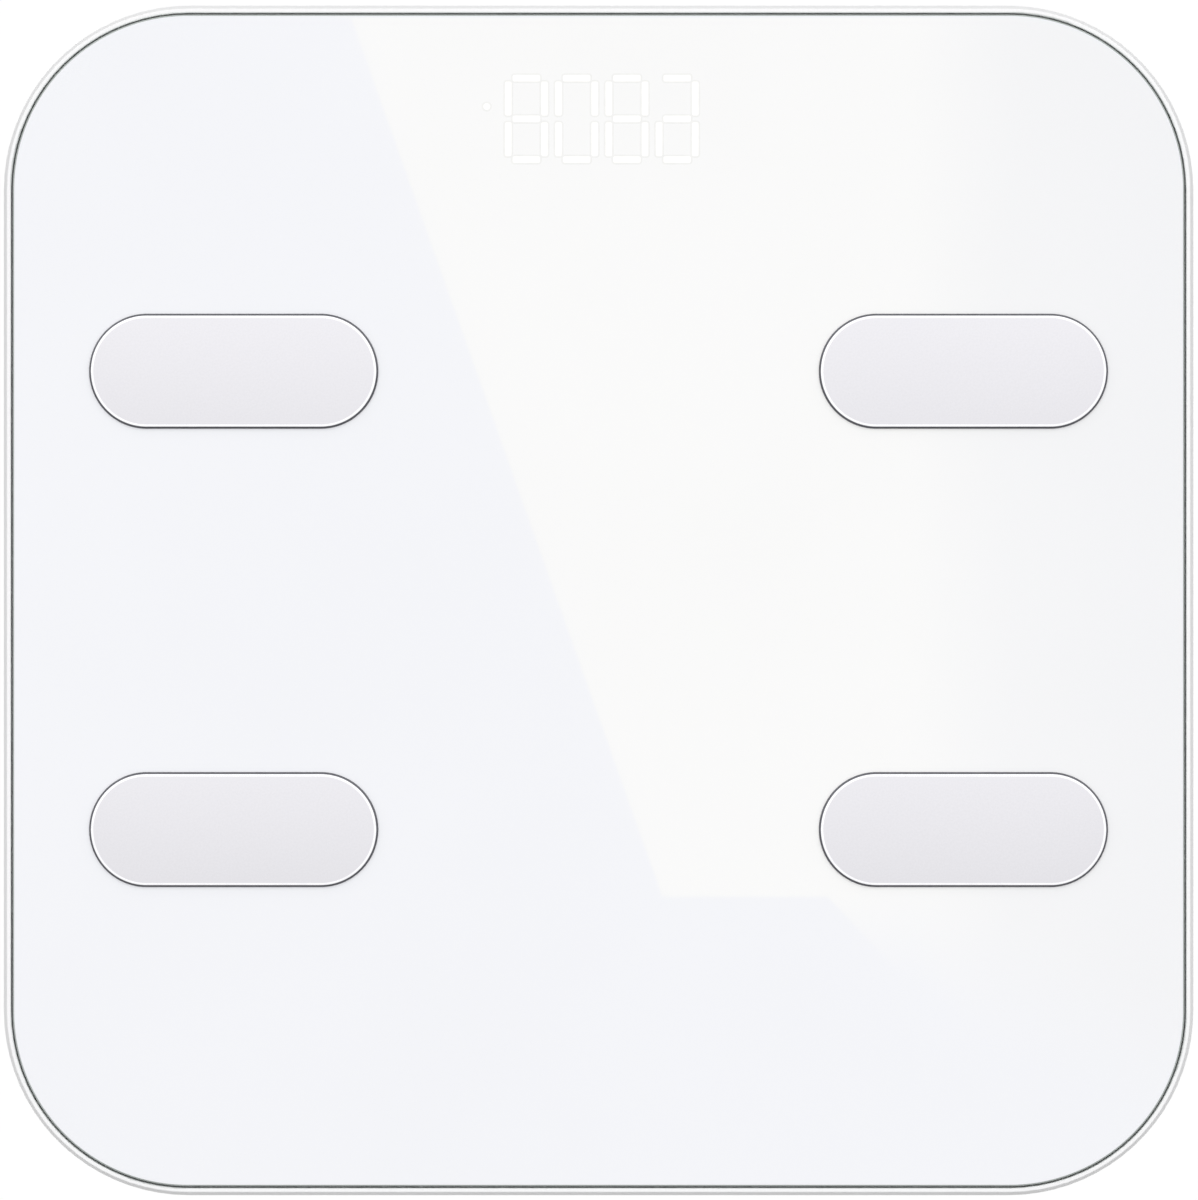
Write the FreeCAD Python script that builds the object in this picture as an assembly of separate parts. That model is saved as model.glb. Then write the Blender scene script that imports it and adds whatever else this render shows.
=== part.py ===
"""Digital bathroom scale with a glass platform, four electrodes and a hidden LED display.

Millimetres, +Z up. The origin is on the floor, under the middle of the platform. +Y points to
the display edge. The glass is bonded to a white ABS top frame. The frame carries four
strain-gauge load cells, the circuit board and the wiring. A base cover closes it from below and
holds the battery bay. The scale stands on four feet, and each foot slides up a little as its
load cell bends.
"""

import FreeCAD, Part
import math
import os

# Platform
PLATFORM_SIDE = 280.0
CORNER_R = 43.5
RIM_W = 1.95            # width of the frame's rim around the glass
RIM_LEAN_W = 1.0        # how far the rim's outer side leans in at its top
RIM_LEAN_H = 3.2        # height of that leaning stretch
RIM_ROUND = 0.3         # round on the rim's outer top edge
RIM_INNER_ROUND = 0.3
RIM_DROP = 0.6          # the glass stands this much proud of the rim
GLASS_GAP = 0.5         # gap between glass and rim
GLASS_T = 4.0
GLASS_BEVEL = 0.9
GLASS_ARRIS = 0.3
BOND_T = 0.5            # foam tape under the glass
BOND_W = 8.0
BOND_INSET = 1.5
BOND_STRIP_X = 50.0

# Electrodes
ELECTRODE_L = 67.9
ELECTRODE_W = 27.0
ELECTRODE_H = 1.0
ELECTRODE_SHEET = 0.5
ELECTRODE_ROUND = 0.8
ELECTRODE_EDGE_X = 20.4  # from the platform's side edge to the electrode's outer end
ELECTRODE_PITCH_Y = 107.6
STUD_R = 1.5
STUD_CLEAR = 0.3
GLASS_HOLE_R = 3.0
NUT_AF = 5.5
NUT_H = 2.2
TERMINAL_T = 0.6
TERMINAL_R = 3.6
BARREL_L = 4.5
BARREL_W = 3.4

# Frame and base cover
DECK_T = 1.8
FRAME_WALL = 2.2
BASE_WALL = 2.0
UNDER_R = 8.0           # round between the base cover's side and its underside
SIDE_STRAIGHT = 1.5     # straight side between that round and the parting line
PART_GAP = 0.4          # shadow gap at the parting line
TONGUE_H = 2.0
TONGUE_T = 1.1
TONGUE_CLEAR = 0.15
RIB_T = 1.2
RIB_H = 2.0
RIB_PITCH = 32.0

# Feet and load cells
PAD_PROUD = 1.0
PAD_R = 17.0
PAD_SEAT = 0.7          # depth of the pad's seat in the foot
PAD_GROOVE = 0.4
PAD_GROOVE_W = 1.2
FOOT_R = 19.3
FOOT_PROUD = 3.5        # how far the foot stands out of the base cover
FOOT_CLEAR = 0.5
FLANGE_W = 1.5          # overlap of the foot's flange over the edge of its hole
FLANGE_T = 1.2
FOOT_DROP = 0.8         # room under the flange
FOOT_TRAVEL = 0.8
STOP_GAP = 0.3
FOOT_POST_R = 4.0
FOOT_SKIN = 1.5
CELL_SIDE = 34.0
CELL_CORNER_R = 5.0
CELL_T = 2.2
CELL_CLEAR_XY = 0.2
TONGUE_HALF_W = 6.5     # half the width of the cell's bending tongue
SLOT_W = 2.2
SLOT_BACK = 8.0         # from the cell's middle to the tongue's root
SLOT_FRONT = 7.3
HOLDER_WALL = 2.8
HOLDER_LIP = 1.4        # holder below the cell's underside
HOOK_T = 0.7
HOOK_REACH = 1.2
HOOK_GAP = 0.1
GAUGE_ROOM = 4.5        # from the cell's top to the deck
FLEX_ROOM = 3.2         # free height above the cell's tongue
GAUGE_L = 7.0
GAUGE_W = 10.0
GAUGE_T = 1.4
GAUGE_OUT = 14.0        # from the cell's middle to the gauge coating's lead face
EAR_R = 4.2
EAR_T = 2.0
EAR_OUT = 3.2

# Fasteners
BOSS_R = 3.2
PILOT_R = 1.3
SHANK_R = 1.25
SCREW_HOLE_R = 1.6
HEAD_R = 2.75
HEAD_H = 1.6
CROSS_W = 0.7
CROSS_L = 3.4
CROSS_DEPTH = 0.9
COVER_POST_R = 4.6
COVER_POST_H = 5.5      # from the floor's upper face
COVER_HEAD_SINK = 1.3
COVER_SCREW_EDGE = 12.0
SHORT_SCREW_L = 7.0
COVER_SCREW_L = 9.0

# Battery bay
CELL_L = 43.7           # body of one AAA cell
CELL_D = 10.5
NUB_R = 1.9
NUB_H = 0.8
BAY_GAP = 0.4           # beside and between cells
CELL_LIFT = 0.3         # above the door and below the roof
CONTACT_T = 0.4
CONTACT_BUMP = 0.4
SPRING_ROOM = 4.8
SPRING_WIRE_R = 0.3
SPRING_BASE_R = 3.6
SPRING_TIP_R = 2.4
SPRING_TURNS = 4
BAY_WALL = 1.2
BAY_ROOF_T = 1.2
BAY_HEADROOM = 1.4      # from the bay's roof to the glass
BAY_Y = 0.0
TAB_OUT = 2.0           # contact tab outside the bay's end wall
DOOR_T = 1.8
DOOR_GAP = 0.25
LEDGE_W = 2.6
LEDGE_T = 1.6
LEDGE_LIFT = 0.05
SURROUND_T = 2.0
BARREL_R = 1.2          # round hinge edge of the door
HINGE_PIN_R = 0.7
HINGE_PIN_L = 1.2
HINGE_PIN_CLEAR = 0.08
BARREL_CLEAR = 0.3
GRIP_RIB_COUNT = 5
LATCH_W = 10.0
LATCH_T = 0.9
LATCH_SPAN = 3.2
LATCH_H = 5.0
LATCH_CLEAR = 0.5
NIB_REACH = 0.7
NIB_H = 1.2
SHELF_H = 2.0
SHELF_GAP = 0.3
SCOOP_R = 30.0
SCOOP_DEPTH = 1.1
LABEL_W = 62.0          # shallow recess for the rating label
LABEL_D = 34.0
LABEL_DEPTH = 0.3
LABEL_Y = -PLATFORM_SIDE / 4

# Board, display and unit button
DISPLAY_INSET = 26.95   # from the platform's rear edge to the digits' middle
DISPLAY_X = 0.75
DIGIT_COUNT = 4
DIGIT_PITCH = 11.8
DIGIT_W = 8.5           # between the middles of a digit's upright segments
DIGIT_H = 19.1          # between the middles of its top and bottom segments
SEGMENT_T = 1.55
SEGMENT_END_GAP = 0.25   # level bars stop this short of the upright ones
SEGMENT_CORNER_R = 0.45
INDICATOR_X = -27.0
INDICATOR_DY = 2.9
INDICATOR_R = 1.0
REFLECTOR_W = 62.0
REFLECTOR_D = 28.0
FILM_T = 0.3
GASKET_T = 0.5
GASKET_W = 1.6
WINDOW_CLEAR = 0.3
LED_W = 1.6
LED_D = 0.8
LED_H = 0.6
BOARD_W = 78.0
BOARD_D = 46.0
BOARD_T = 1.6
BOARD_BACK = 4.0        # the board's middle lies this far in front of the digits' middle
BOARD_POST_IN = 3.5
CONNECTOR_H = 3.4
CONNECTOR_D = 5.5
CONNECTOR_GAP = 1.3     # between connector and deck
CELL_PLUG_X = (32.0, 21.0)   # rear and front load cells
ELECTRODE_PLUG_PITCH = 2.5
BATTERY_PLUG_X = -12.0
BUTTON_BACK = 7.0       # from the board's front edge
BUTTON_R = 3.7
BUTTON_CLEAR = 0.3
BUTTON_SINK = 0.3
BUTTON_FLANGE_W = 1.5
BUTTON_FLANGE_T = 0.9
BUTTON_LIFT = 0.3       # flange above the floor at rest
BUTTON_STEM = 0.5
BUTTON_STEM_R = 2.0
BUTTON_TRAVEL = 0.5
TACT_SIDE = 6.0
TACT_H = 2.6
PLUNGER_R = 1.7
PLUNGER_CLEAR = 0.05
PLUNGER_PROUD = 0.6
PLUNGER_DEEP = 0.6

# Leads
CELL_LEAD_R = 0.5
CELL_LEAD_PITCH = 1.2
ELECTRODE_LEAD_R = 0.55
BATTERY_LEAD_R = 0.6
LEAD_LAYER_GAP = 0.35
LANE = 4.0              # spacing of the lanes that the leads run in

TINY = 1e-6
V = FreeCAD.Vector
UP = V(0, 0, 1)

# Heights, from the floor up
BASE_Z = PAD_PROUD + FOOT_PROUD
FLOOR_Z = BASE_Z + BASE_WALL
FLANGE_Z = FLOOR_Z + FOOT_DROP
HOLDER_Z = FLANGE_Z + FLANGE_T + FOOT_TRAVEL + STOP_GAP
CELL_Z = HOLDER_Z + HOLDER_LIP
CELL_TOP = CELL_Z + CELL_T
BUTTON_TOP = FLOOR_Z + BUTTON_LIFT + BUTTON_FLANGE_T + BUTTON_STEM
TACT_Z = BUTTON_TOP + PLUNGER_PROUD
BOARD_Z = TACT_Z + TACT_H
BOARD_TOP = BOARD_Z + BOARD_T
BAY_ROOF_Z = BASE_Z + DOOR_T + CELL_LIFT + CELL_D + CELL_LIFT
BAY_TOP = BAY_ROOF_Z + BAY_ROOF_T
DECK_Z = max(
    CELL_TOP + GAUGE_ROOM,
    BOARD_TOP + CONNECTOR_H + CONNECTOR_GAP,
    BAY_TOP + BAY_HEADROOM - BOND_T - DECK_T,
)                       # the tallest stack sets the deck's height
DECK_TOP = DECK_Z + DECK_T
GLASS_Z = DECK_TOP + BOND_T
GLASS_TOP = GLASS_Z + GLASS_T
TOP_Z = GLASS_TOP + ELECTRODE_H
RIM_TOP = GLASS_TOP - RIM_DROP
PART_Z = BASE_Z + UNDER_R + SIDE_STRAIGHT
EAR_TOP = HOLDER_Z + EAR_T
COVER_POST_TOP = FLOOR_Z + COVER_POST_H
FILM_Z = GLASS_Z - GASKET_T - FILM_T
CELL_LEAD_Z = CELL_TOP + CELL_LEAD_R
ELECTRODE_LEAD_Z = CELL_LEAD_Z + CELL_LEAD_R + ELECTRODE_LEAD_R + LEAD_LAYER_GAP
BATTERY_LEAD_Z = BOARD_Z - CONNECTOR_H / 2 + 0.3

# Places in plan
HALF = PLATFORM_SIDE / 2
GLASS_INSET = RIM_W + GLASS_GAP
FOOT_HOLE_R = FOOT_R + FOOT_CLEAR
FLANGE_R = FOOT_HOLE_R + FLANGE_W
CELL_REACH = CELL_SIDE / math.sqrt(2) - CELL_CORNER_R * (math.sqrt(2) - 1)
HOLDER_R = CELL_REACH + CELL_CLEAR_XY + HOLDER_WALL
WALL_REACH = FRAME_WALL + TONGUE_CLEAR + TONGUE_T + 1.0
CORNER_ROOM = CORNER_R - max(HOLDER_R + WALL_REACH, FOOT_HOLE_R + UNDER_R + 1.0)
FOOT_XY = HALF - CORNER_R + CORNER_ROOM / math.sqrt(2)
EAR_AT = HOLDER_R + EAR_OUT
ELECTRODE_X = HALF - ELECTRODE_EDGE_X - ELECTRODE_L / 2
ELECTRODE_Y = ELECTRODE_PITCH_Y / 2
DISPLAY_Y = HALF - DISPLAY_INSET
BOARD_Y = DISPLAY_Y - BOARD_BACK
BOARD_FRONT = BOARD_Y - BOARD_D / 2
BOARD_POST_X = BOARD_W / 2 - BOARD_POST_IN
BOARD_POST_Y = (BOARD_Y - BOARD_D / 4, BOARD_Y + BOARD_D / 2 - BOARD_POST_IN)
PLUG_FACE_Y = BOARD_FRONT + 0.5
BUTTON_Y = BOARD_FRONT + BUTTON_BACK
COVER_SCREW_ALONG = BOARD_W / 2 + 8.0
CELL_PITCH = CELL_D + BAY_GAP
BAY_L = CELL_L + NUB_H + CONTACT_T + CONTACT_BUMP + SPRING_ROOM + CONTACT_T
BAY_W = 3 * CELL_PITCH + BAY_GAP
DOOR_L = BAY_L + 2 * LEDGE_W
DOOR_W = BAY_W + 2 * LEDGE_W
HINGE_Y = BAY_Y - DOOR_W / 2 + BARREL_R
HINGE_Z = BASE_Z + BARREL_R
LEDGE_Z = BASE_Z + DOOR_T + LEDGE_LIFT
LEDGE_TOP = LEDGE_Z + LEDGE_T
LATCH_Y = BAY_Y + DOOR_W / 2 - LATCH_T - DOOR_GAP
LATCH_END = LATCH_Y + LATCH_SPAN
POCKET_Y = LATCH_END + NIB_REACH + SHELF_GAP
CORNERS = {"rear_right": (1, 1), "rear_left": (-1, 1), "front_left": (-1, -1), "front_right": (1, -1)}

# Simple solids


def outline(width, depth, radius, z, x=0.0, y=0.0):
    """A closed wire: a rectangle with round corners, centred on x, y."""
    dx = width / 2 - radius
    dy = depth / 2 - radius
    edges = []
    last = None
    first = None
    for sx, sy, start in ((1, 1, 0), (-1, 1, 90), (-1, -1, 180), (1, -1, 270)):
        centre = V(x + sx * dx, y + sy * dy, z)
        arc = Part.ArcOfCircle(
            Part.Circle(centre, UP, radius), math.radians(start), math.radians(start + 90)
        )
        begin = arc.StartPoint
        if last is not None and last.distanceToPoint(begin) > TINY:
            edges.append(Part.makeLine(last, begin))
        first = first or begin
        edges.append(arc.toShape())
        last = arc.EndPoint
    if last.distanceToPoint(first) > TINY:
        edges.append(Part.makeLine(last, first))
    return Part.Wire(edges)


def plate(width, depth, radius, z0, z1, x=0.0, y=0.0):
    """An upright prism on a rectangle with round corners."""
    return Part.Face(outline(width, depth, radius, z0, x, y)).extrude(V(0, 0, z1 - z0))


def inset_plate(inset, z0, z1):
    """The platform's outline drawn in by inset, as a prism."""
    side = PLATFORM_SIDE - 2 * inset
    return plate(side, side, CORNER_R - inset, z0, z1)


def block(x0, x1, y0, y1, z0, z1):
    return Part.makeBox(x1 - x0, y1 - y0, z1 - z0, V(x0, y0, z0))


def box_at(x, y, width, depth, z0, z1):
    return block(x - width / 2, x + width / 2, y - depth / 2, y + depth / 2, z0, z1)


def rod(radius, z0, z1, x=0.0, y=0.0):
    return Part.makeCylinder(radius, z1 - z0, V(x, y, z0), UP)


def ring(outer, inner, z0, z1, x=0.0, y=0.0):
    return rod(outer, z0, z1, x, y).cut(rod(inner, z0, z1, x, y))


def joined(shapes):
    return shapes[0].multiFuse(shapes[1:]).removeSplitter()


def rounded(shape, radius, chosen):
    """Rounds the edges for which chosen(edge's bounding box) is true."""
    edges = [edge for edge in shape.Edges if chosen(edge.BoundBox)]
    return shape.makeFillet(radius, edges)


def level(z):
    """Picks edges that lie flat at the height z."""
    return lambda box: abs(box.ZMin - z) < 1e-4 and abs(box.ZMax - z) < 1e-4


def placed(shape, corner):
    """A copy turned so that its own +X points out of the corner, and moved to that corner's foot."""
    sx, sy = CORNERS[corner]
    moved = shape.copy()
    moved.rotate(V(0, 0, 0), UP, math.degrees(math.atan2(sy, sx)))
    moved.translate(V(sx * FOOT_XY, sy * FOOT_XY, 0))
    return moved


def on_diagonal(corner, along, across):
    """The point along and across from a foot's middle, along pointing out of the platform's corner."""
    sx, sy = CORNERS[corner]
    turn = math.atan2(sy, sx)
    x = sx * FOOT_XY + along * math.cos(turn) - across * math.sin(turn)
    y = sy * FOOT_XY + along * math.sin(turn) + across * math.cos(turn)
    return x, y


# Repeated places


def electrode_places():
    return {
        "rear_right": (ELECTRODE_X, ELECTRODE_Y),
        "rear_left": (-ELECTRODE_X, ELECTRODE_Y),
        "front_left": (-ELECTRODE_X, -ELECTRODE_Y),
        "front_right": (ELECTRODE_X, -ELECTRODE_Y),
    }


def cover_screw_places():
    edge = HALF - COVER_SCREW_EDGE
    along = COVER_SCREW_ALONG
    places = [(sx * edge, sy * along) for sx in (-1, 1) for sy in (-1, 1)]
    return places + [(sx * along, sy * edge) for sx in (-1, 1) for sy in (-1, 1)]


def holder_screw_places():
    return [on_diagonal(corner, 0.0, side * EAR_AT) for corner in CORNERS for side in (-1, 1)]


def board_screw_places():
    return [(sx * BOARD_POST_X, y) for sx in (-1, 1) for y in BOARD_POST_Y]


def bay_rows():
    """The three cells: the middle of each in Y, and the way its nub points along X."""
    return [(BAY_Y + row * CELL_PITCH, -1 if row == 0 else 1) for row in (-1, 0, 1)]


# Glass platform


def glass_plate():
    glass = inset_plate(GLASS_INSET, GLASS_Z, GLASS_TOP)
    glass = glass.makeChamfer(GLASS_BEVEL, [e for e in glass.Edges if level(GLASS_TOP)(e.BoundBox)])
    glass = glass.makeChamfer(GLASS_ARRIS, [e for e in glass.Edges if level(GLASS_Z)(e.BoundBox)])
    holes = [rod(GLASS_HOLE_R, GLASS_Z, GLASS_TOP, x, y) for x, y in electrode_places().values()]
    return glass.cut(holes)


def glass_bond_tape():
    outer = GLASS_INSET + BOND_INSET
    inner = outer + BOND_W
    frame = inset_plate(outer, DECK_TOP, GLASS_Z).cut(inset_plate(inner, DECK_TOP, GLASS_Z))
    reach = HALF - inner - BOND_INSET
    strips = [
        block(x - BOND_W / 2, x + BOND_W / 2, -reach, reach, DECK_TOP, GLASS_Z)
        for x in (-BOND_STRIP_X, BOND_STRIP_X)
    ]
    return Part.makeCompound([frame] + strips)


# Electrodes and what fixes them


def electrode(x, y):
    """A stadium of sheet metal with its edge turned down to the glass."""
    shell = plate(ELECTRODE_L, ELECTRODE_W, ELECTRODE_W / 2, GLASS_TOP, TOP_Z, x, y)
    shell = rounded(shell, ELECTRODE_ROUND, level(TOP_Z))
    inner_w = ELECTRODE_W - 2 * ELECTRODE_SHEET
    inner_l = ELECTRODE_L - 2 * ELECTRODE_SHEET
    hollow = plate(inner_l, inner_w, inner_w / 2, GLASS_TOP, TOP_Z - ELECTRODE_SHEET, x, y)
    return shell.cut(hollow)


def electrode_tape():
    """One tape pad inside each electrode's turned-down edge, with a hole for its stud."""
    width = ELECTRODE_W - 2 * ELECTRODE_SHEET - 1.0
    length = ELECTRODE_L - 2 * ELECTRODE_SHEET - 1.0
    top = TOP_Z - ELECTRODE_SHEET
    pads = []
    for x, y in electrode_places().values():
        pad = plate(length, width, width / 2, GLASS_TOP, top, x, y)
        pads.append(pad.cut(rod(GLASS_HOLE_R, GLASS_TOP, top, x, y)))
    return Part.makeCompound(pads)


def electrode_studs():
    low = DECK_Z - TERMINAL_T - NUT_H - 0.6
    high = TOP_Z - ELECTRODE_SHEET
    return Part.makeCompound([rod(STUD_R, low, high, x, y) for x, y in electrode_places().values()])


def electrode_nuts():
    top = DECK_Z - TERMINAL_T
    circle_r = NUT_AF / math.sqrt(3)
    nuts = []
    for x, y in electrode_places().values():
        points = [
            V(x + circle_r * math.cos(a), y + circle_r * math.sin(a), top - NUT_H)
            for a in [math.radians(60 * k) for k in range(7)]
        ]
        nut = Part.Face(Part.makePolygon(points)).extrude(V(0, 0, NUT_H))
        nuts.append(nut.cut(rod(STUD_R + 0.02, top - NUT_H, top, x, y)))
    return Part.makeCompound(nuts)


def barrel_reach():
    """From a stud's middle to the lead end of its terminal's barrel."""
    return TERMINAL_R + BARREL_L


def electrode_terminals():
    """Ring terminals under the deck, each with a crimp barrel that points to the middle of the scale."""
    terminals = []
    for x, y in electrode_places().values():
        inward = -math.copysign(1, x)
        eye = ring(TERMINAL_R, STUD_R + 0.1, DECK_Z - TERMINAL_T, DECK_Z, x, y)
        low = ELECTRODE_LEAD_Z - ELECTRODE_LEAD_R - 0.3
        near = x + inward * (TERMINAL_R - 0.3)
        far = x + inward * barrel_reach()
        barrel = block(
            min(near, far), max(near, far), y - BARREL_W / 2, y + BARREL_W / 2, low, DECK_Z
        )
        barrel = barrel.cut(rod(NUT_AF / math.sqrt(3) + 0.2, low, DECK_Z - TERMINAL_T, x, y))
        terminals.append(joined([eye, barrel]))
    return Part.makeCompound(terminals)


# Top frame


def rib_grid(z0, z1, keep_clear):
    """Crossed ribs over the inside of the platform, less the shapes in keep_clear."""
    reach = HALF - WALL_REACH
    count = int(reach / RIB_PITCH)
    lines = [k * RIB_PITCH for k in range(-count, count + 1)]
    bars = [box_at(x, 0, RIB_T, 2 * reach, z0, z1) for x in lines]
    bars += [box_at(0, y, 2 * reach, RIB_T, z0, z1) for y in lines]
    return joined(bars).common(inset_plate(WALL_REACH, z0, z1)).cut(keep_clear)


def deck_openings():
    window = plate(
        REFLECTOR_W + 2 * WINDOW_CLEAR, REFLECTOR_D + 2 * WINDOW_CLEAR, 1.0,
        DECK_Z, DECK_TOP, DISPLAY_X, DISPLAY_Y,
    )
    bay = box_at(
        0, BAY_Y, BAY_L + 2 * BAY_WALL + 1.0, BAY_W + 2 * BAY_WALL + 1.0, DECK_Z, DECK_TOP
    )
    studs = [
        rod(STUD_R + STUD_CLEAR, DECK_Z, DECK_TOP, x, y) for x, y in electrode_places().values()
    ]
    return [window, bay] + studs


def deck_ribs():
    low = DECK_Z - RIB_H
    clear = [rod(EAR_AT + EAR_R + 1, low, DECK_Z, *on_diagonal(c, 0, 0)) for c in CORNERS]
    clear.append(box_at(0, BOARD_Y, BOARD_W + 6, BOARD_D + 6, low, DECK_Z))
    clear.append(box_at(0, BAY_Y, BAY_L + 8, BAY_W + 8, low, DECK_Z))
    clear += [rod(barrel_reach() + 3, low, DECK_Z, x, y) for x, y in electrode_places().values()]
    return rib_grid(low, DECK_Z, clear)


def hanging_boss(x, y, z0):
    """A screw boss under the deck, with its pilot hole."""
    return rod(BOSS_R, z0, DECK_Z, x, y), rod(PILOT_R, z0, DECK_Z - 0.3, x, y)


def frame_outside(low):
    """The frame as a block: straight sides that lean in towards the rim's top."""
    bend = RIM_TOP - RIM_LEAN_H
    top_side = PLATFORM_SIDE - 2 * RIM_LEAN_W
    lean = Part.makeLoft(
        [
            outline(PLATFORM_SIDE, PLATFORM_SIDE, CORNER_R, bend),
            outline(top_side, top_side, CORNER_R - RIM_LEAN_W, RIM_TOP),
        ],
        True, True,
    )
    return rounded(joined([inset_plate(0.0, low, bend), lean]), RIM_ROUND, level(RIM_TOP))


def top_frame():
    low = PART_Z + PART_GAP
    frame = frame_outside(low)
    frame = frame.cut(inset_plate(RIM_W, DECK_TOP, RIM_TOP))
    frame = frame.cut(inset_plate(FRAME_WALL, low, DECK_Z))
    mouth = HALF - RIM_W + 1e-3
    frame = rounded(
        frame, RIM_INNER_ROUND,
        lambda box: level(RIM_TOP)(box) and max(box.XMax, -box.XMin, box.YMax, -box.YMin) < mouth,
    )
    bosses = [hanging_boss(x, y, COVER_POST_TOP) for x, y in cover_screw_places()]
    bosses += [hanging_boss(x, y, EAR_TOP) for x, y in holder_screw_places()]
    bosses += [hanging_boss(x, y, BOARD_TOP) for x, y in board_screw_places()]
    frame = joined([frame, deck_ribs()] + [boss for boss, _ in bosses])
    return frame.cut([hole for _, hole in bosses] + deck_openings())


# Base cover


def base_shell():
    """The dish: straight side, round under-edge, floor, and the tongue that lines up the frame."""
    outer = rounded(inset_plate(0.0, BASE_Z, PART_Z), UNDER_R, level(BASE_Z))
    inner = inset_plate(BASE_WALL, FLOOR_Z, PART_Z)
    inner = rounded(inner, UNDER_R - BASE_WALL, level(FLOOR_Z))
    tongue_in = FRAME_WALL + TONGUE_CLEAR
    root_z = PART_Z - TONGUE_H
    root = inset_plate(BASE_WALL - 0.1, root_z, PART_Z)
    root = root.cut(inset_plate(tongue_in + TONGUE_T, root_z, PART_Z))
    tongue = inset_plate(tongue_in, PART_Z, PART_Z + TONGUE_H)
    tongue = tongue.cut(inset_plate(tongue_in + TONGUE_T, PART_Z, PART_Z + TONGUE_H))
    return joined([outer.cut(inner), root, tongue])


def floor_ribs():
    high = FLOOR_Z + RIB_H
    clear = [rod(EAR_AT + EAR_R + 1, FLOOR_Z, high, *on_diagonal(c, 0, 0)) for c in CORNERS]
    clear.append(box_at(0, BOARD_Y, BOARD_W + 6, BOARD_D + 6, FLOOR_Z, high))
    clear.append(box_at(0, BAY_Y, DOOR_L + 2, DOOR_W + 2, FLOOR_Z, high))
    clear.append(box_at(0, POCKET_Y, LATCH_W + 2, 2 * LATCH_SPAN, FLOOR_Z, high))
    inside = inset_plate(UNDER_R, FLOOR_Z, high)
    return rib_grid(FLOOR_Z - 0.1, high, clear).common(inside)


def bay_solids():
    """What stands up around the cells: the box, the door's surround and the latch's pocket."""
    box = box_at(0, BAY_Y, BAY_L + 2 * BAY_WALL, BAY_W + 2 * BAY_WALL, BASE_Z, BAY_TOP)
    around = DOOR_GAP + SURROUND_T
    surround = box_at(0, BAY_Y, DOOR_L + 2 * around, DOOR_W + 2 * around, BASE_Z, LEDGE_TOP)
    half = LATCH_W / 2 + LATCH_CLEAR + BAY_WALL
    pocket_top = latch_top() + 2 * BAY_WALL
    pocket = block(-half, half, LATCH_Y - BAY_WALL, POCKET_Y + BAY_WALL, BASE_Z, pocket_top)
    return [box, surround, pocket]


def latch_top():
    return BASE_Z + DOOR_T + LATCH_H


def bay_cuts():
    """What is cut away for the cells, the door, its hinge barrel and pins, and the latch."""
    bay = box_at(0, BAY_Y, BAY_L, BAY_W, BASE_Z, BAY_ROOF_Z)
    door = plate(DOOR_L + 2 * DOOR_GAP, DOOR_W + 2 * DOOR_GAP, 1.0, BASE_Z, LEDGE_Z, 0, BAY_Y)
    along_x = V(1, 0, 0)
    groove_half = DOOR_L / 2 + DOOR_GAP
    groove = Part.makeCylinder(
        BARREL_R + BARREL_CLEAR, 2 * groove_half, V(-groove_half, HINGE_Y, HINGE_Z), along_x
    )
    groove = groove.common(
        box_at(0, BAY_Y, 2 * groove_half, DOOR_W + 2 * DOOR_GAP, BASE_Z, LEDGE_TOP)
    )
    socket_half = groove_half + HINGE_PIN_L + 0.2
    sockets = Part.makeCylinder(
        HINGE_PIN_R + HINGE_PIN_CLEAR, 2 * socket_half, V(-socket_half, HINGE_Y, HINGE_Z), along_x
    )
    half = LATCH_W / 2 + LATCH_CLEAR
    start = LATCH_Y - 0.3
    throat = block(-half, half, start, LATCH_END + SHELF_GAP, BASE_Z, BASE_Z + SHELF_H)
    room = block(-half, half, start, POCKET_Y, BASE_Z + SHELF_H, latch_top() + BAY_WALL)
    slots = [
        block(min(x0, x1), max(x0, x1), y - 1.6, y + 1.6, BATTERY_LEAD_Z - 1.2, BATTERY_LEAD_Z + 1.2)
        for x0, x1, y in tab_slots()
    ]
    return [bay, door, groove, sockets, throat, room] + slots


def tab_slots():
    """The end walls' slots for the two outer contact tabs: from x0 to x1, at y."""
    (low_y, _), _, (high_y, _) = bay_rows()
    inner = BAY_L / 2 - 0.1
    outer = BAY_L / 2 + BAY_WALL + 0.1
    return [(inner, outer, low_y), (-inner, -outer, high_y)]


def base_cover():
    holes = [rod(FOOT_HOLE_R, BASE_Z, FLOOR_Z, *on_diagonal(corner, 0, 0)) for corner in CORNERS]
    posts = [rod(COVER_POST_R, BASE_Z, COVER_POST_TOP, x, y) for x, y in cover_screw_places()]
    seat = BASE_Z + COVER_HEAD_SINK + HEAD_H
    for x, y in cover_screw_places():
        holes.append(rod(HEAD_R + 0.35, BASE_Z, seat, x, y))
        holes.append(rod(SCREW_HOLE_R, seat, COVER_POST_TOP, x, y))
    holes.append(rod(BUTTON_R + BUTTON_CLEAR, BASE_Z, FLOOR_Z, 0, BUTTON_Y))
    dish = Part.makeCone(BUTTON_R + 2.6, BUTTON_R + BUTTON_CLEAR, 0.8, V(0, BUTTON_Y, BASE_Z), UP)
    scoop = Part.makeSphere(SCOOP_R, V(0, POCKET_Y - 0.5, BASE_Z + SCOOP_DEPTH - SCOOP_R))
    scoop = scoop.common(block(-20, 20, LATCH_END, LATCH_END + 30, BASE_Z, FLOOR_Z))
    label = plate(LABEL_W, LABEL_D, 2.0, BASE_Z, BASE_Z + LABEL_DEPTH, 0, LABEL_Y)
    solid = joined([base_shell(), floor_ribs()] + posts + bay_solids())
    return solid.cut(holes + [dish, scoop, label] + bay_cuts())


# Battery door and its latch


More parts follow.
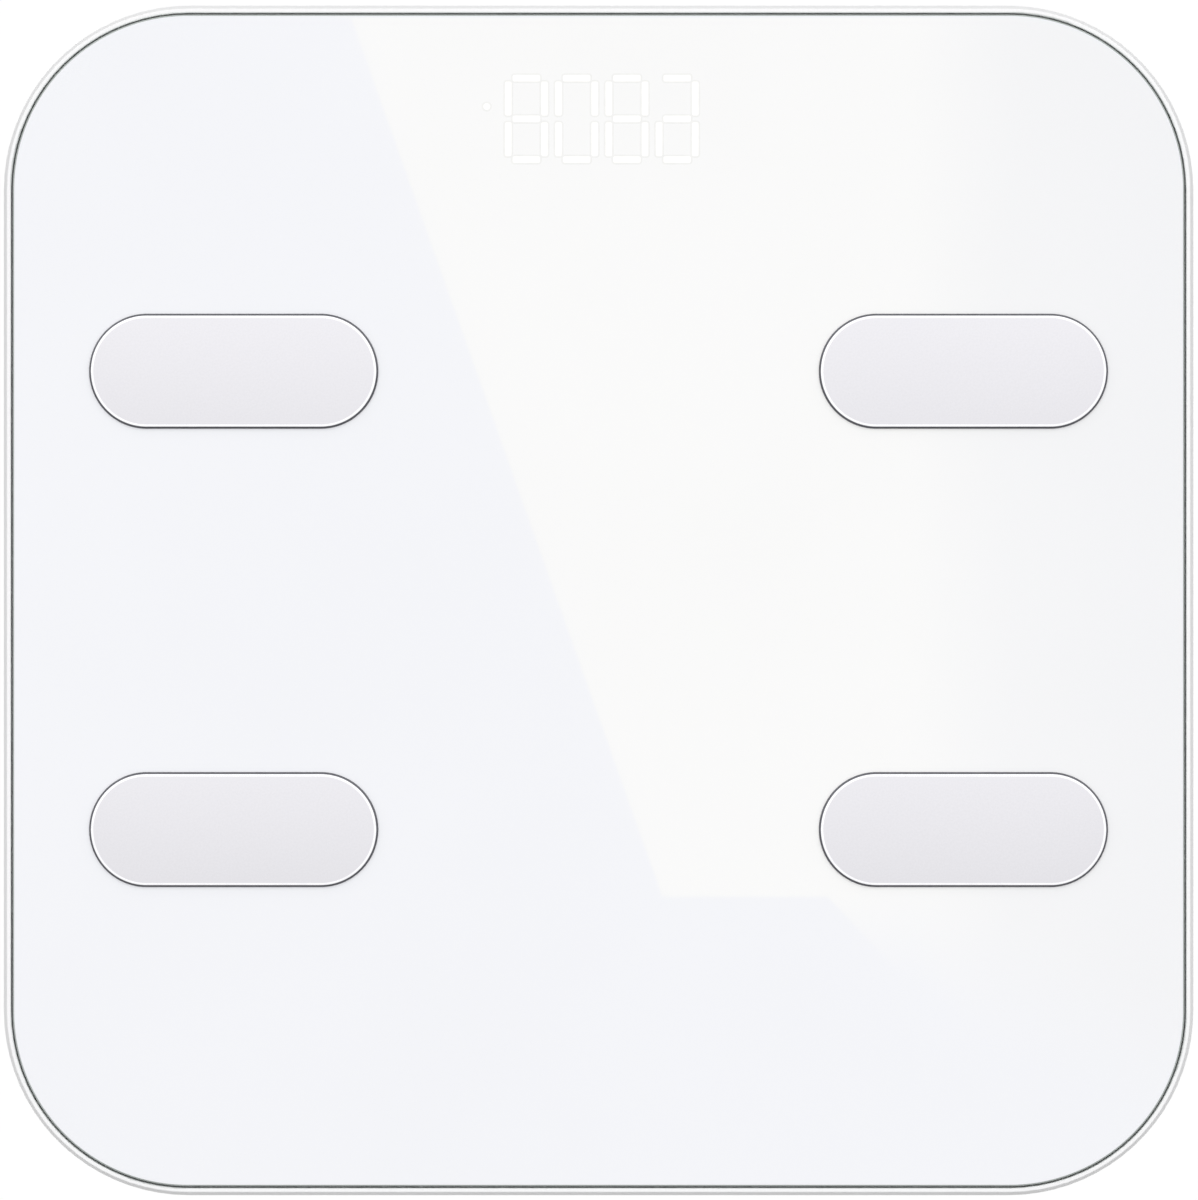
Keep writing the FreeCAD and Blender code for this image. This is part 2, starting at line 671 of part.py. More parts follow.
def battery_door():
    """The panel, its round hinge edge with a stub pin at each end, and grip ribs by the latch."""
    width = DOOR_W - BARREL_R
    panel = box_at(0, BAY_Y + BARREL_R / 2, DOOR_L, width, BASE_Z, BASE_Z + DOOR_T)
    rear = BAY_Y + DOOR_W / 2
    panel = rounded(
        panel, 1.0,
        lambda box: box.ZLength > DOOR_T - TINY and abs(box.YMax - rear) < TINY,
    )
    along_x = V(1, 0, 0)
    barrel = Part.makeCylinder(BARREL_R, DOOR_L, V(-DOOR_L / 2, HINGE_Y, HINGE_Z), along_x)
    pin_half = DOOR_L / 2 + HINGE_PIN_L
    pins = Part.makeCylinder(HINGE_PIN_R, 2 * pin_half, V(-pin_half, HINGE_Y, HINGE_Z), along_x)
    door = joined([panel, barrel, pins])
    notch = block(
        -LATCH_W / 2 - LATCH_CLEAR, LATCH_W / 2 + LATCH_CLEAR,
        LATCH_Y + LATCH_T, rear, BASE_Z, BASE_Z + DOOR_T,
    )
    grooves = []
    for k in range(GRIP_RIB_COUNT):
        half = LATCH_W / 2 + 1.0 - 0.8 * k
        y = LATCH_Y - 3.0 - 1.8 * k
        grooves.append(block(-half, half, y, y + 0.9, BASE_Z, BASE_Z + 0.4))
    return door.cut([notch] + grooves)


def door_latch():
    """A springy hook: up from the panel, over, and down to a finger pad, with a nib outside."""
    base = BASE_Z + DOOR_T
    top = base + LATCH_H
    arch = block(-LATCH_W / 2, LATCH_W / 2, LATCH_Y, LATCH_END, base, top)
    arch = rounded(arch, 1.2, lambda box: level(top)(box) and box.XLength > LATCH_W - TINY)
    gap = block(
        -LATCH_W / 2, LATCH_W / 2, LATCH_Y + LATCH_T, LATCH_END - LATCH_T, base, top - LATCH_T
    )
    finger = block(-LATCH_W / 2, LATCH_W / 2, LATCH_END - LATCH_T, LATCH_END, BASE_Z + 0.5, base)
    low = BASE_Z + SHELF_H + 0.2
    side = [
        V(-LATCH_W / 2 + 1, LATCH_END - 0.1, low),
        V(-LATCH_W / 2 + 1, LATCH_END + NIB_REACH, low),
        V(-LATCH_W / 2 + 1, LATCH_END - 0.1, low + NIB_H),
    ]
    nib = Part.Face(Part.makePolygon(side + side[:1])).extrude(V(LATCH_W - 2, 0, 0))
    return joined([arch.cut(gap), finger, nib])


# Cells and contacts


def battery_cell(row):
    """One AAA cell lying along X, its nub pointing the way its row needs."""
    y, nub_way = bay_rows()[row]
    z = BASE_Z + DOOR_T + CELL_LIFT + CELL_D / 2
    start = BAY_L / 2 - CONTACT_T - CONTACT_BUMP - NUB_H
    body = Part.makeCylinder(CELL_D / 2, CELL_L, V(start - CELL_L, y, z), V(1, 0, 0))
    body = rounded(body, 0.6, lambda box: box.XLength < TINY)
    nub = Part.makeCylinder(NUB_R, NUB_H, V(start, y, z), V(1, 0, 0))
    cell = joined([body, nub])
    if nub_way < 0:
        cell.rotate(V(0, y, z), UP, 180)
    return cell


def contact_plates():
    """Two plates that bridge neighbouring cells and two with a tab, all with bumps for the nubs."""
    z = BASE_Z + DOOR_T + CELL_LIFT + CELL_D / 2
    low = z - CELL_D / 2 + 1
    high = z + CELL_D / 2 - 1
    (y0, _), (y1, _), (y2, _) = bay_rows()
    half = CELL_D / 2 - 1
    plates = []
    for way, first, last in ((1, y0, y0), (1, y1, y2), (-1, y0, y1), (-1, y2, y2)):
        wall = way * BAY_L / 2
        face = wall - way * CONTACT_T
        metal = block(min(wall, face), max(wall, face), first - half, last + half, low, high)
        shapes = [metal]
        for y, nub_way in bay_rows():
            if nub_way == way and first - TINY < y < last + TINY:
                tip = V(face, y, z) if way < 0 else V(face - CONTACT_BUMP, y, z)
                shapes.append(Part.makeCylinder(NUB_R, CONTACT_BUMP, tip, V(1, 0, 0)))
        if first == last:
            out = way * (BAY_L / 2 + BAY_WALL + TAB_OUT)
            shapes.append(
                block(min(wall, out), max(wall, out), first - 1.2, first + 1.2,
                      BATTERY_LEAD_Z - 0.8, BATTERY_LEAD_Z - 0.8 + CONTACT_T)
            )
        plates.append(joined(shapes))
    return Part.makeCompound(plates)


def contact_springs():
    """Conical coil springs between the end plates and the cells' flat ends."""
    z = BASE_Z + DOOR_T + CELL_LIFT + CELL_D / 2
    height = SPRING_ROOM - 2 * SPRING_WIRE_R
    angle = math.degrees(math.atan2(SPRING_BASE_R - SPRING_TIP_R, height))
    helix = Part.makeHelix(height / SPRING_TURNS, height, SPRING_TIP_R, angle)
    wire = Part.Wire(helix.Edges)
    profile = Part.Wire(Part.makeCircle(SPRING_WIRE_R, V(SPRING_TIP_R, 0, 0), V(0, 1, 0)))
    coil = wire.makePipeShell([profile], True, True)
    springs = []
    for y, nub_way in bay_rows():
        spring = coil.copy()
        spring.rotate(V(0, 0, 0), V(0, 1, 0), -90 * nub_way)
        tip_x = -nub_way * (BAY_L / 2 - CONTACT_T - SPRING_ROOM + SPRING_WIRE_R)
        spring.translate(V(tip_x, y, z))
        springs.append(spring)
    return Part.makeCompound(springs)


# Feet and load cells


def foot_cap():
    """The foot's body with a flange that stops it dropping out and a post that pushes on the load cell."""
    body = rod(FOOT_R, PAD_PROUD, FLANGE_Z + FLANGE_T)
    body = rounded(body, 0.8, level(PAD_PROUD))
    flange = rod(FLANGE_R, FLANGE_Z, FLANGE_Z + FLANGE_T)
    post = rod(FOOT_POST_R, PAD_PROUD + PAD_SEAT, CELL_Z)
    hollow_z = PAD_PROUD + PAD_SEAT + FOOT_SKIN
    wall_r = FOOT_R - 2.2
    hollow = ring(wall_r, FOOT_POST_R + 1.5, hollow_z, FLANGE_Z + FLANGE_T)
    webs = [box_at(0, 0, 2 * FOOT_R - 2, RIB_T, hollow_z, FLANGE_Z + FLANGE_T) for _ in range(3)]
    for k, web in enumerate(webs):
        web.rotate(V(0, 0, 0), UP, 60 * k)
    seat = rod(PAD_R + 0.2, PAD_PROUD, PAD_PROUD + PAD_SEAT)
    cap = joined([body, flange]).cut(hollow)
    return joined([cap, post] + webs).cut(seat)


def foot_pad():
    """A rubber disc with two ring grooves in its underside."""
    pad = rounded(rod(PAD_R, 0.0, PAD_PROUD + PAD_SEAT), 0.4, level(0.0))
    grooves = [
        ring(share * PAD_R + PAD_GROOVE_W / 2, share * PAD_R - PAD_GROOVE_W / 2, 0.0, PAD_GROOVE)
        for share in (0.42, 0.72)
    ]
    return pad.cut(grooves)


def load_cell():
    """A square steel plate with a U slot, which leaves a bending tongue in its middle."""
    cell = plate(CELL_SIDE, CELL_SIDE, CELL_CORNER_R, CELL_Z, CELL_TOP)
    cell.rotate(V(0, 0, 0), UP, 45)
    outer = TONGUE_HALF_W + SLOT_W
    legs = [
        block(-SLOT_BACK, SLOT_FRONT + SLOT_W, min(a, b), max(a, b), CELL_Z, CELL_TOP)
        for a, b in ((TONGUE_HALF_W, outer), (-TONGUE_HALF_W, -outer))
    ]
    end = block(SLOT_FRONT, SLOT_FRONT + SLOT_W, -outer, outer, CELL_Z, CELL_TOP)
    return cell.cut(legs + [end])


def cell_holder():
    """The round moulding that hangs the load cell under the deck and leaves its tongue room to bend."""
    body = rod(HOLDER_R, HOLDER_Z, DECK_Z)
    ears = []
    holes = []
    for side in (-1, 1):
        at = side * EAR_AT
        ears.append(rod(EAR_R, HOLDER_Z, EAR_TOP, 0, at))
        ears.append(box_at(0, at - side * EAR_R / 2, 2 * EAR_R, EAR_R, HOLDER_Z, EAR_TOP))
        holes.append(rod(SCREW_HOLE_R, HOLDER_Z, EAR_TOP, 0, at))
    pocket_side = CELL_SIDE + 2 * CELL_CLEAR_XY
    pocket = plate(pocket_side, pocket_side, CELL_CORNER_R + CELL_CLEAR_XY, HOLDER_Z, CELL_TOP)
    pocket.rotate(V(0, 0, 0), UP, 45)
    room_half = TONGUE_HALF_W + SLOT_W + 0.8
    room = block(
        -GAUGE_OUT - 1.0, SLOT_FRONT + SLOT_W + 1.0, -room_half, room_half,
        CELL_TOP, CELL_TOP + FLEX_ROOM,
    )
    notch = CELL_LEAD_PITCH + CELL_LEAD_R + 1.0
    mouth = block(-HOLDER_R - 1, 0, -notch, notch, HOLDER_Z, CELL_LEAD_Z + 2 * CELL_LEAD_R)
    hooks = []
    for side in (-1, 1):
        hook = block(pocket_side / 2 - HOOK_REACH, pocket_side / 2 + 0.5, -3, 3,
                     CELL_Z - HOOK_GAP - HOOK_T, CELL_Z - HOOK_GAP)
        hook.rotate(V(0, 0, 0), UP, 45 * side)
        hooks.append(hook)
    return joined([joined([body] + ears).cut([pocket, room, mouth] + holes)] + hooks)


def gauge_coatings():
    """The silicone over each load cell's strain gauge, at the tongue's root."""
    coat = block(
        -GAUGE_OUT, GAUGE_L - GAUGE_OUT, -GAUGE_W / 2, GAUGE_W / 2, CELL_TOP, CELL_TOP + GAUGE_T
    )
    coat = rounded(coat, 0.6, level(CELL_TOP + GAUGE_T))
    return Part.makeCompound([placed(coat, corner) for corner in CORNERS])


# Board, display and unit button


def main_board():
    board = plate(BOARD_W, BOARD_D, 1.5, BOARD_Z, BOARD_TOP, 0, BOARD_Y)
    return board.cut([rod(SCREW_HOLE_R, BOARD_Z, BOARD_TOP, x, y) for x, y in board_screw_places()])


def segment_places():
    """Middle and direction of each segment of each digit: x, y, and True where it is upright."""
    places = []
    for k in range(DIGIT_COUNT):
        x = DISPLAY_X + (k - (DIGIT_COUNT - 1) / 2) * DIGIT_PITCH
        places += [(x, DISPLAY_Y + row * DIGIT_H / 2, False) for row in (-1, 0, 1)]
        places += [
            (x + side * DIGIT_W / 2, DISPLAY_Y + half * DIGIT_H / 4, True)
            for side in (-1, 1) for half in (-1, 1)
        ]
    return places


def segment(x, y, upright, z0, z1):
    """A bar with round corners, as a prism."""
    if upright:
        return plate(SEGMENT_T, DIGIT_H / 2 - SEGMENT_T, SEGMENT_CORNER_R, z0, z1, x, y)
    length = DIGIT_W - SEGMENT_T - 2 * SEGMENT_END_GAP
    return plate(length, SEGMENT_T, SEGMENT_CORNER_R, z0, z1, x, y)


def indicator_place():
    return DISPLAY_X + INDICATOR_X, DISPLAY_Y + INDICATOR_DY


def display_reflector():
    """The block on the board whose wells shape each segment's light."""
    body = plate(REFLECTOR_W, REFLECTOR_D, 1.0, BOARD_TOP, FILM_Z, DISPLAY_X, DISPLAY_Y)
    wells = [segment(x, y, up, BOARD_TOP, FILM_Z) for x, y, up in segment_places()]
    wells.append(rod(INDICATOR_R, BOARD_TOP, FILM_Z, *indicator_place()))
    return body.cut(wells)


def segment_leds():
    lights = []
    for x, y, upright in segment_places():
        width, depth = (LED_D, LED_W) if upright else (LED_W, LED_D)
        lights.append(box_at(x, y, width, depth, BOARD_TOP, BOARD_TOP + LED_H))
    x, y = indicator_place()
    lights.append(box_at(x, y, LED_D, LED_D, BOARD_TOP, BOARD_TOP + LED_H))
    return Part.makeCompound(lights)


def diffuser_film():
    return plate(REFLECTOR_W, REFLECTOR_D, 1.0, FILM_Z, FILM_Z + FILM_T, DISPLAY_X, DISPLAY_Y)


def light_gasket():
    low = FILM_Z + FILM_T
    outer = plate(REFLECTOR_W, REFLECTOR_D, 1.0, low, GLASS_Z, DISPLAY_X, DISPLAY_Y)
    inner = plate(
        REFLECTOR_W - 2 * GASKET_W, REFLECTOR_D - 2 * GASKET_W, 0.5, low, GLASS_Z, DISPLAY_X, DISPLAY_Y
    )
    return outer.cut(inner)


def controller_chips():
    """The microcontroller and the load-cell converter, with their legs."""
    chips = []
    for x, width, depth, height in ((15.0, 7.0, 7.0, 1.4), (-15.0, 10.0, 4.4, 1.5)):
        y = BOARD_Y
        low = BOARD_Z - height
        body = box_at(x, y, width, depth, low, BOARD_Z - 0.1)
        legs = [
            box_at(x + (k - 3) * 1.27, y, 0.45, depth + 2.0, BOARD_Z - 0.25, BOARD_Z) for k in range(7)
        ]
        chips.append(joined([body] + legs))
    return Part.makeCompound(chips)


def radio_module():
    """A small radio board with its screening can."""
    x = BOARD_W / 2 - 14.0
    y = BOARD_Y + BOARD_D / 2 - 10.0
    board = box_at(x, y, 14.0, 11.0, BOARD_Z - 0.8, BOARD_Z)
    can = box_at(x - 1.5, y, 9.5, 9.0, BOARD_Z - 2.4, BOARD_Z - 0.8)
    return Part.makeCompound([board, rounded(can, 0.4, level(BOARD_Z - 2.4))])


def board_capacitors():
    side = -BOARD_W / 2 + 11.0
    places = [(side, BOARD_Y + 9.0), (side, BOARD_Y + 2.0), (4.0, BOARD_Y + 12.0)]
    return Part.makeCompound([rod(2.0, BOARD_Z - 3.0, BOARD_Z, x, y) for x, y in places])


def clock_crystal():
    return plate(8.0, 3.2, 1.6, BOARD_Z - 1.6, BOARD_Z, 11.0, BOARD_Y + 9.0)


def chip_resistors():
    """Rows of small surface-mount parts between the chips."""
    parts = []
    for row in range(3):
        for k in range(8):
            parts.append(
                box_at(-8.0 + 1.9 * k, BOARD_Y - 10.5 + 2.4 * row, 0.8, 1.6, BOARD_Z - 0.5, BOARD_Z)
            )
    return Part.makeCompound(parts)


def plug_body(x, width, z0, z1):
    body = block(x - width / 2, x + width / 2, PLUG_FACE_Y, PLUG_FACE_Y + CONNECTOR_D, z0, z1)
    return rounded(body, 0.4, lambda box: box.YLength > CONNECTOR_D - TINY)


def lead_connectors():
    """Plugs on the board's front edge, for the load cells, the electrodes and the battery."""
    top = BOARD_TOP + CONNECTOR_H
    plugs = [plug_body(side * x, 7.5, BOARD_TOP, top) for side in (-1, 1) for x in CELL_PLUG_X]
    plugs.append(plug_body(0.0, 4 * ELECTRODE_PLUG_PITCH + 1.5, BOARD_TOP, top))
    plugs.append(plug_body(BATTERY_PLUG_X, 6.0, BOARD_Z - CONNECTOR_H, BOARD_Z))
    return Part.makeCompound(plugs)


def tact_switch():
    """The switch body with its well for the plunger, and four legs."""
    body = box_at(0, BUTTON_Y, TACT_SIDE, TACT_SIDE, TACT_Z, BOARD_Z - 0.1)
    legs = [
        box_at(0, BUTTON_Y + side * TACT_SIDE / 3, TACT_SIDE + 2.4, 0.8, BOARD_Z - 0.3, BOARD_Z)
        for side in (-1, 1)
    ]
    deep = TACT_Z + PLUNGER_DEEP + BUTTON_TRAVEL + 0.2
    return joined([body] + legs).cut(rod(PLUNGER_R + PLUNGER_CLEAR, TACT_Z, deep, 0, BUTTON_Y))


def tact_plunger():
    return rod(PLUNGER_R, BUTTON_TOP, TACT_Z + PLUNGER_DEEP, 0, BUTTON_Y)


def unit_button():
    """The cap pressed from below, its flange over the floor, and the stem under the switch."""
    low = BASE_Z + BUTTON_SINK
    flange_z = FLOOR_Z + BUTTON_LIFT
    cap = rounded(rod(BUTTON_R, low, flange_z, 0, BUTTON_Y), 0.4, level(low))
    flange = rod(
        BUTTON_R + BUTTON_CLEAR + BUTTON_FLANGE_W, flange_z, flange_z + BUTTON_FLANGE_T, 0, BUTTON_Y
    )
    stem = rod(BUTTON_STEM_R, flange_z + BUTTON_FLANGE_T, BUTTON_TOP, 0, BUTTON_Y)
    return joined([cap, flange, stem])


# Screws


def screw(x, y, seat_z, length):
    """A pan-head screw driven upwards: its head hangs below seat_z, with a cross recess."""
    head = rounded(rod(HEAD_R, seat_z - HEAD_H, seat_z, x, y), 0.5, level(seat_z - HEAD_H))
    shank = rod(SHANK_R, seat_z, seat_z + length, x, y)
    low = seat_z - HEAD_H
    cross = [
        box_at(x, y, CROSS_L, CROSS_W, low, low + CROSS_DEPTH),
        box_at(x, y, CROSS_W, CROSS_L, low, low + CROSS_DEPTH),
    ]
    return joined([head, shank]).cut(cross)


def cover_screws():
    seat = BASE_Z + COVER_HEAD_SINK + HEAD_H
    return Part.makeCompound([screw(x, y, seat, COVER_SCREW_L) for x, y in cover_screw_places()])


def holder_screws():
    return Part.makeCompound([screw(x, y, HOLDER_Z, SHORT_SCREW_L) for x, y in holder_screw_places()])


def board_screws():
    length = BOARD_T + DECK_Z - BOARD_TOP - 1.0
    return Part.makeCompound([screw(x, y, BOARD_Z, length) for x, y in board_screw_places()])


# Leads


def beside(route, offset):
    """The route moved sideways by offset, its corners kept."""
    sides = []
    for (x0, y0), (x1, y1) in zip(route, route[1:]):
        length = math.hypot(x1 - x0, y1 - y0)
        sides.append((-(y1 - y0) / length, (x1 - x0) / length))
    moved = []
    for k, (x, y) in enumerate(route):
        before = sides[max(k - 1, 0)]
        after = sides[min(k, len(sides) - 1)]
        share = offset / (1 + before[0] * after[0] + before[1] * after[1])
        moved.append((x + share * (before[0] + after[0]), y + share * (before[1] + after[1])))
    return moved


def lead(route, z, radius):
    """A round lead in the plane z: straight runs joined by tangent arcs."""
    points = [V(x, y, z) for x, y in route]
    edges = []
    start = points[0]
    for before, corner, after in zip(points, points[1:], points[2:]):
        come = (before - corner).normalize()
        go = (after - corner).normalize()
        turn = math.pi - come.getAngle(go)
        reach = 0.45 * min(before.distanceToPoint(corner), corner.distanceToPoint(after))
        bend_r = reach / math.tan(turn / 2)
        enter = corner + come * reach
        leave = corner + go * reach
        inward = (come + go).normalize()
        middle = corner + inward * (bend_r / math.cos(turn / 2) - bend_r)
        edges.append(Part.makeLine(start, enter))
        edges.append(Part.Arc(enter, middle, leave).toShape())
        start = leave
    edges.append(Part.makeLine(start, points[-1]))
    profile = Part.Wire(Part.makeCircle(radius, points[0], points[1] - points[0]))
    return Part.Wire(edges).makePipeShell([profile], True, False)


def cell_route(corner):
    """From a load cell's gauge, in along the diagonal, along a lane, and up to its plug."""
    sx, sy = CORNERS[corner]
    start = on_diagonal(corner, -GAUGE_OUT, 0.0)
    if sy > 0:
        lane = BOARD_FRONT - 2 * LANE
        plug = sx * CELL_PLUG_X[0]
        return [start, (sx * lane, lane), (plug, lane), (plug, PLUG_FACE_Y)]
    lane = BOARD_FRONT - 4 * LANE
    aside = FOOT_XY - HOLDER_R - 2.5 * LANE
    plug = sx * CELL_PLUG_X[1]
    return [start, (sx * aside, -aside), (sx * aside, lane), (plug, lane), (plug, PLUG_FACE_Y)]


def cell_leads(corner):
    route = cell_route(corner)
    offsets = [k * CELL_LEAD_PITCH for k in (-1, 0, 1)]
    return Part.makeCompound([lead(beside(route, d), CELL_LEAD_Z, CELL_LEAD_R) for d in offsets])


def electrode_leads():
    leads = []
    for x, y in electrode_places().values():
        side = math.copysign(1, x)
        start = x - side * barrel_reach()
        if y > 0:
            aside = side * BOND_STRIP_X
            lane = BOARD_FRONT - 3 * LANE
            plug = side * 1.5 * ELECTRODE_PLUG_PITCH
        else:
            aside = side * (BOND_STRIP_X - 2 * LANE)
            lane = BOARD_FRONT - 5 * LANE
            plug = side * 0.5 * ELECTRODE_PLUG_PITCH
        route = [(start, y), (aside, y), (aside, lane), (plug, lane), (plug, PLUG_FACE_Y)]
        leads.append(lead(route, ELECTRODE_LEAD_Z, ELECTRODE_LEAD_R))
    return Part.makeCompound(leads)


def battery_leads():
    """From the outer contacts' tabs, around the bay, to the battery plug."""
    (low_y, _), _, (high_y, _) = bay_rows()
    end = BAY_L / 2 + BAY_WALL + TAB_OUT
    aside = DOOR_L / 2 + DOOR_GAP + SURROUND_T + 2 * LANE
    z = BATTERY_LEAD_Z - 0.8 + CONTACT_T + BATTERY_LEAD_R
    minus_lane = BOARD_FRONT - 7 * LANE
    plus_lane = BOARD_FRONT - 9 * LANE
    minus_plug = BATTERY_PLUG_X - 1.25
    plus_plug = BATTERY_PLUG_X + 1.25
    minus = [
        (-end + 1.0, high_y), (-aside, high_y), (-aside, minus_lane),
        (minus_plug, minus_lane), (minus_plug, PLUG_FACE_Y),
    ]
    plus = [
        (end - 1.0, low_y), (aside, low_y), (aside, plus_lane),
        (plus_plug, plus_lane), (plus_plug, PLUG_FACE_Y),
    ]
    return Part.makeCompound([lead(route, z, BATTERY_LEAD_R) for route in (minus, plus)])


def nodes():
    """Every sub-part by name."""
    made = {
        "glass_plate": glass_plate(),
        "glass_bond_tape": glass_bond_tape(),
        "top_frame": top_frame(),
        "base_cover": base_cover(),
        "battery_door": battery_door(),
        "door_latch": door_latch(),
        "contact_plates": contact_plates(),
        "contact_springs": contact_springs(),
        "electrode_tape": electrode_tape(),
        "electrode_studs": electrode_studs(),
        "electrode_nuts": electrode_nuts(),
        "electrode_terminals": electrode_terminals(),
        "electrode_leads": electrode_leads(),
        "battery_leads": battery_leads(),
        "gauge_coatings": gauge_coatings(),
        "main_board": main_board(),
        "display_reflector": display_reflector(),
        "segment_leds": segment_leds(),
        "diffuser_film": diffuser_film(),
        "light_gasket": light_gasket(),
        "controller_chips": controller_chips(),
        "radio_module": radio_module(),
        "board_capacitors": board_capacitors(),
        "clock_crystal": clock_crystal(),
        "chip_resistors": chip_resistors(),
        "lead_connectors": lead_connectors(),
        "tact_switch": tact_switch(),
        "tact_plunger": tact_plunger(),
        "unit_button": unit_button(),
        "cover_screws": cover_screws(),
        "holder_screws": holder_screws(),
        "board_screws": board_screws(),
    }
    for name, (x, y) in electrode_places().items():
        made["electrode_" + name] = electrode(x, y)
    for row in range(3):
        made["battery_cell_" + str(row + 1)] = battery_cell(row)
    for corner in CORNERS:
        made["foot_cap_" + corner] = placed(foot_cap(), corner)
        made["foot_pad_" + corner] = placed(foot_pad(), corner)
        made["load_cell_" + corner] = placed(load_cell(), corner)
        made["cell_holder_" + corner] = placed(cell_holder(), corner)
        made["cell_leads_" + corner] = cell_leads(corner)
    return made


os.makedirs("parts", exist_ok=True)
for name, shape in nodes().items():
    shape.exportStep("parts/" + name + ".step")
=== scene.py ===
import math
import bpy
import numpy as np
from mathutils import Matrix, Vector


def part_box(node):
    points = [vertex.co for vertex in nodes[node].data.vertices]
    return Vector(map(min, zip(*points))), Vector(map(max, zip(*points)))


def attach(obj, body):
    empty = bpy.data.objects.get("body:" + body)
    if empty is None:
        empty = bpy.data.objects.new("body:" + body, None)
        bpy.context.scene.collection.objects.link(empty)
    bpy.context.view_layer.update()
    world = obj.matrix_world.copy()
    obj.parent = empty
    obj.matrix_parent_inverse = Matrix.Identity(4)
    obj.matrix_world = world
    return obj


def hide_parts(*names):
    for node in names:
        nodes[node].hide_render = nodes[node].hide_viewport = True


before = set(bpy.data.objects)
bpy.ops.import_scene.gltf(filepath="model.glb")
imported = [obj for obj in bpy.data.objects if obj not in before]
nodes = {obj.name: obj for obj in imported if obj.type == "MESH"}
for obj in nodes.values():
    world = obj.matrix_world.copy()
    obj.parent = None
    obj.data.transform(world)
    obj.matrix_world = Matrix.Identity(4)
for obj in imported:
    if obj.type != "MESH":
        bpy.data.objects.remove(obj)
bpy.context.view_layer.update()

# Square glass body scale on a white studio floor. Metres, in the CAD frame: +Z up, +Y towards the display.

MM = 0.001


# ---------------------------------------------------------------------------------------------
# Top frame. The tray that everything hangs from: injection-moulded white ABS with a narrow rim
# around the glass. The mould is finely textured, so the rim is satin, with a faint orange peel.

def linear(code):
    """sRGB hex to linear colour: a channel c is ((c + 0.055) / 1.055) ** 2.4, or c / 12.92 near black."""
    channels = np.array([int(code[k:k + 2], 16) for k in (1, 3, 5)]) / 255
    lit = np.where(channels > 0.04045, ((channels + 0.055) / 1.055) ** 2.4, channels / 12.92)
    return (*lit.tolist(), 1.0)


def add(tree, kind, settings=None, links=None):
    """Adds one node to a tree. Settings go to its sockets or properties, links join sockets to it."""
    made = tree.nodes.new(kind)
    for key, value in (settings or {}).items():
        if isinstance(key, str) and hasattr(made, key):
            setattr(made, key, value)
        else:
            made.inputs[key].default_value = value
    for key, socket in (links or {}).items():
        tree.links.new(socket, made.inputs[key])
    return made


def finish(name, colour, **settings):
    """A material named for a real finish. Returns it with its tree, its shader and Object coordinates."""
    material = bpy.data.materials.new(name)
    material.use_nodes = True
    tree = material.node_tree
    shader = tree.nodes["Principled BSDF"]
    shader.inputs["Base Color"].default_value = linear(colour)
    for key, value in settings.items():
        shader.inputs[key.replace("_", " ")].default_value = value
    place = add(tree, "ShaderNodeTexCoord").outputs["Object"]
    return material, tree, shader, place


def grain(tree, shader, place, size_mm, depth_mm, strength=0.5, detail=3.0, stretch=(1, 1, 1)):
    """Bump from noise whose lumps are size_mm across and depth_mm high, drawn out by stretch. Returns the
    noise."""
    scaled = add(tree, "ShaderNodeMapping", {"Scale": [1 / s for s in stretch]}, {"Vector": place})
    noise = add(
        tree, "ShaderNodeTexNoise", {"Scale": 1 / (size_mm * MM), "Detail": detail},
        {"Vector": scaled.outputs[0]},
    )
    bump = add(
        tree, "ShaderNodeBump", {"Strength": strength, "Distance": depth_mm * MM},
        {"Height": noise.outputs["Fac"]},
    )
    tree.links.new(bump.outputs["Normal"], shader.inputs["Normal"])
    return noise.outputs["Fac"]


def vary(tree, shader, socket, factor, low, high):
    """Drives a shader socket between two values, or two hex colours, as factor goes from 0.35 to 0.65."""
    if isinstance(low, str):
        ramp = add(tree, "ShaderNodeValToRGB", links={"Fac": factor})
        ends = ramp.color_ramp.elements
        ends[0].position, ends[1].position = 0.35, 0.65
        ends[0].color, ends[1].color = linear(low), linear(high)
        tree.links.new(ramp.outputs["Color"], shader.inputs[socket])
    else:
        spread = add(
            tree, "ShaderNodeMapRange",
            {"From Min": 0.35, "From Max": 0.65, "To Min": low, "To Max": high}, {"Value": factor},
        )
        tree.links.new(spread.outputs["Result"], shader.inputs[socket])


def paint(material, *names):
    """Gives CAD nodes this material."""
    for name in names:
        for slot in nodes[name].material_slots:
            slot.material = material


# moulded ABS, satin: a soft broad highlight, no grain at arm's length
rim_abs, tree, shader, place = finish("satin_moulded_white_ABS", "#fcfcfd", Roughness=0.38, IOR=1.54)
lumps = grain(tree, shader, place, 0.5, 0.004)
vary(tree, shader, "Roughness", lumps, 0.33, 0.43)
vary(tree, shader, "Base Color", lumps, "#fafafb", "#fefeff")
paint(rim_abs, "top_frame")


# ---------------------------------------------------------------------------------------------
# Load cells. Slotted squares of spring steel, blanked, ground flat and nickel plated. Each has its
# strain gauges under a blob of silicone, and sits in a moulded acetal holder screwed to the frame.

corners = ("rear_right", "rear_left", "front_left", "front_right")

# nickel over ground steel: a pale warm metal with fine straight lines
plated, tree, shader, place = finish("nickel_plated_spring_steel", "#c4c1bb", Metallic=1.0, Roughness=0.3)
lines = grain(tree, shader, place, 0.25, 0.01, 0.3, 2.0, (30, 1, 1))
vary(tree, shader, "Roughness", lines, 0.24, 0.36)
vary(tree, shader, "Base Color", lines, "#bebbb5", "#c9c6c0")
paint(plated, *["load_cell_" + c for c in corners])

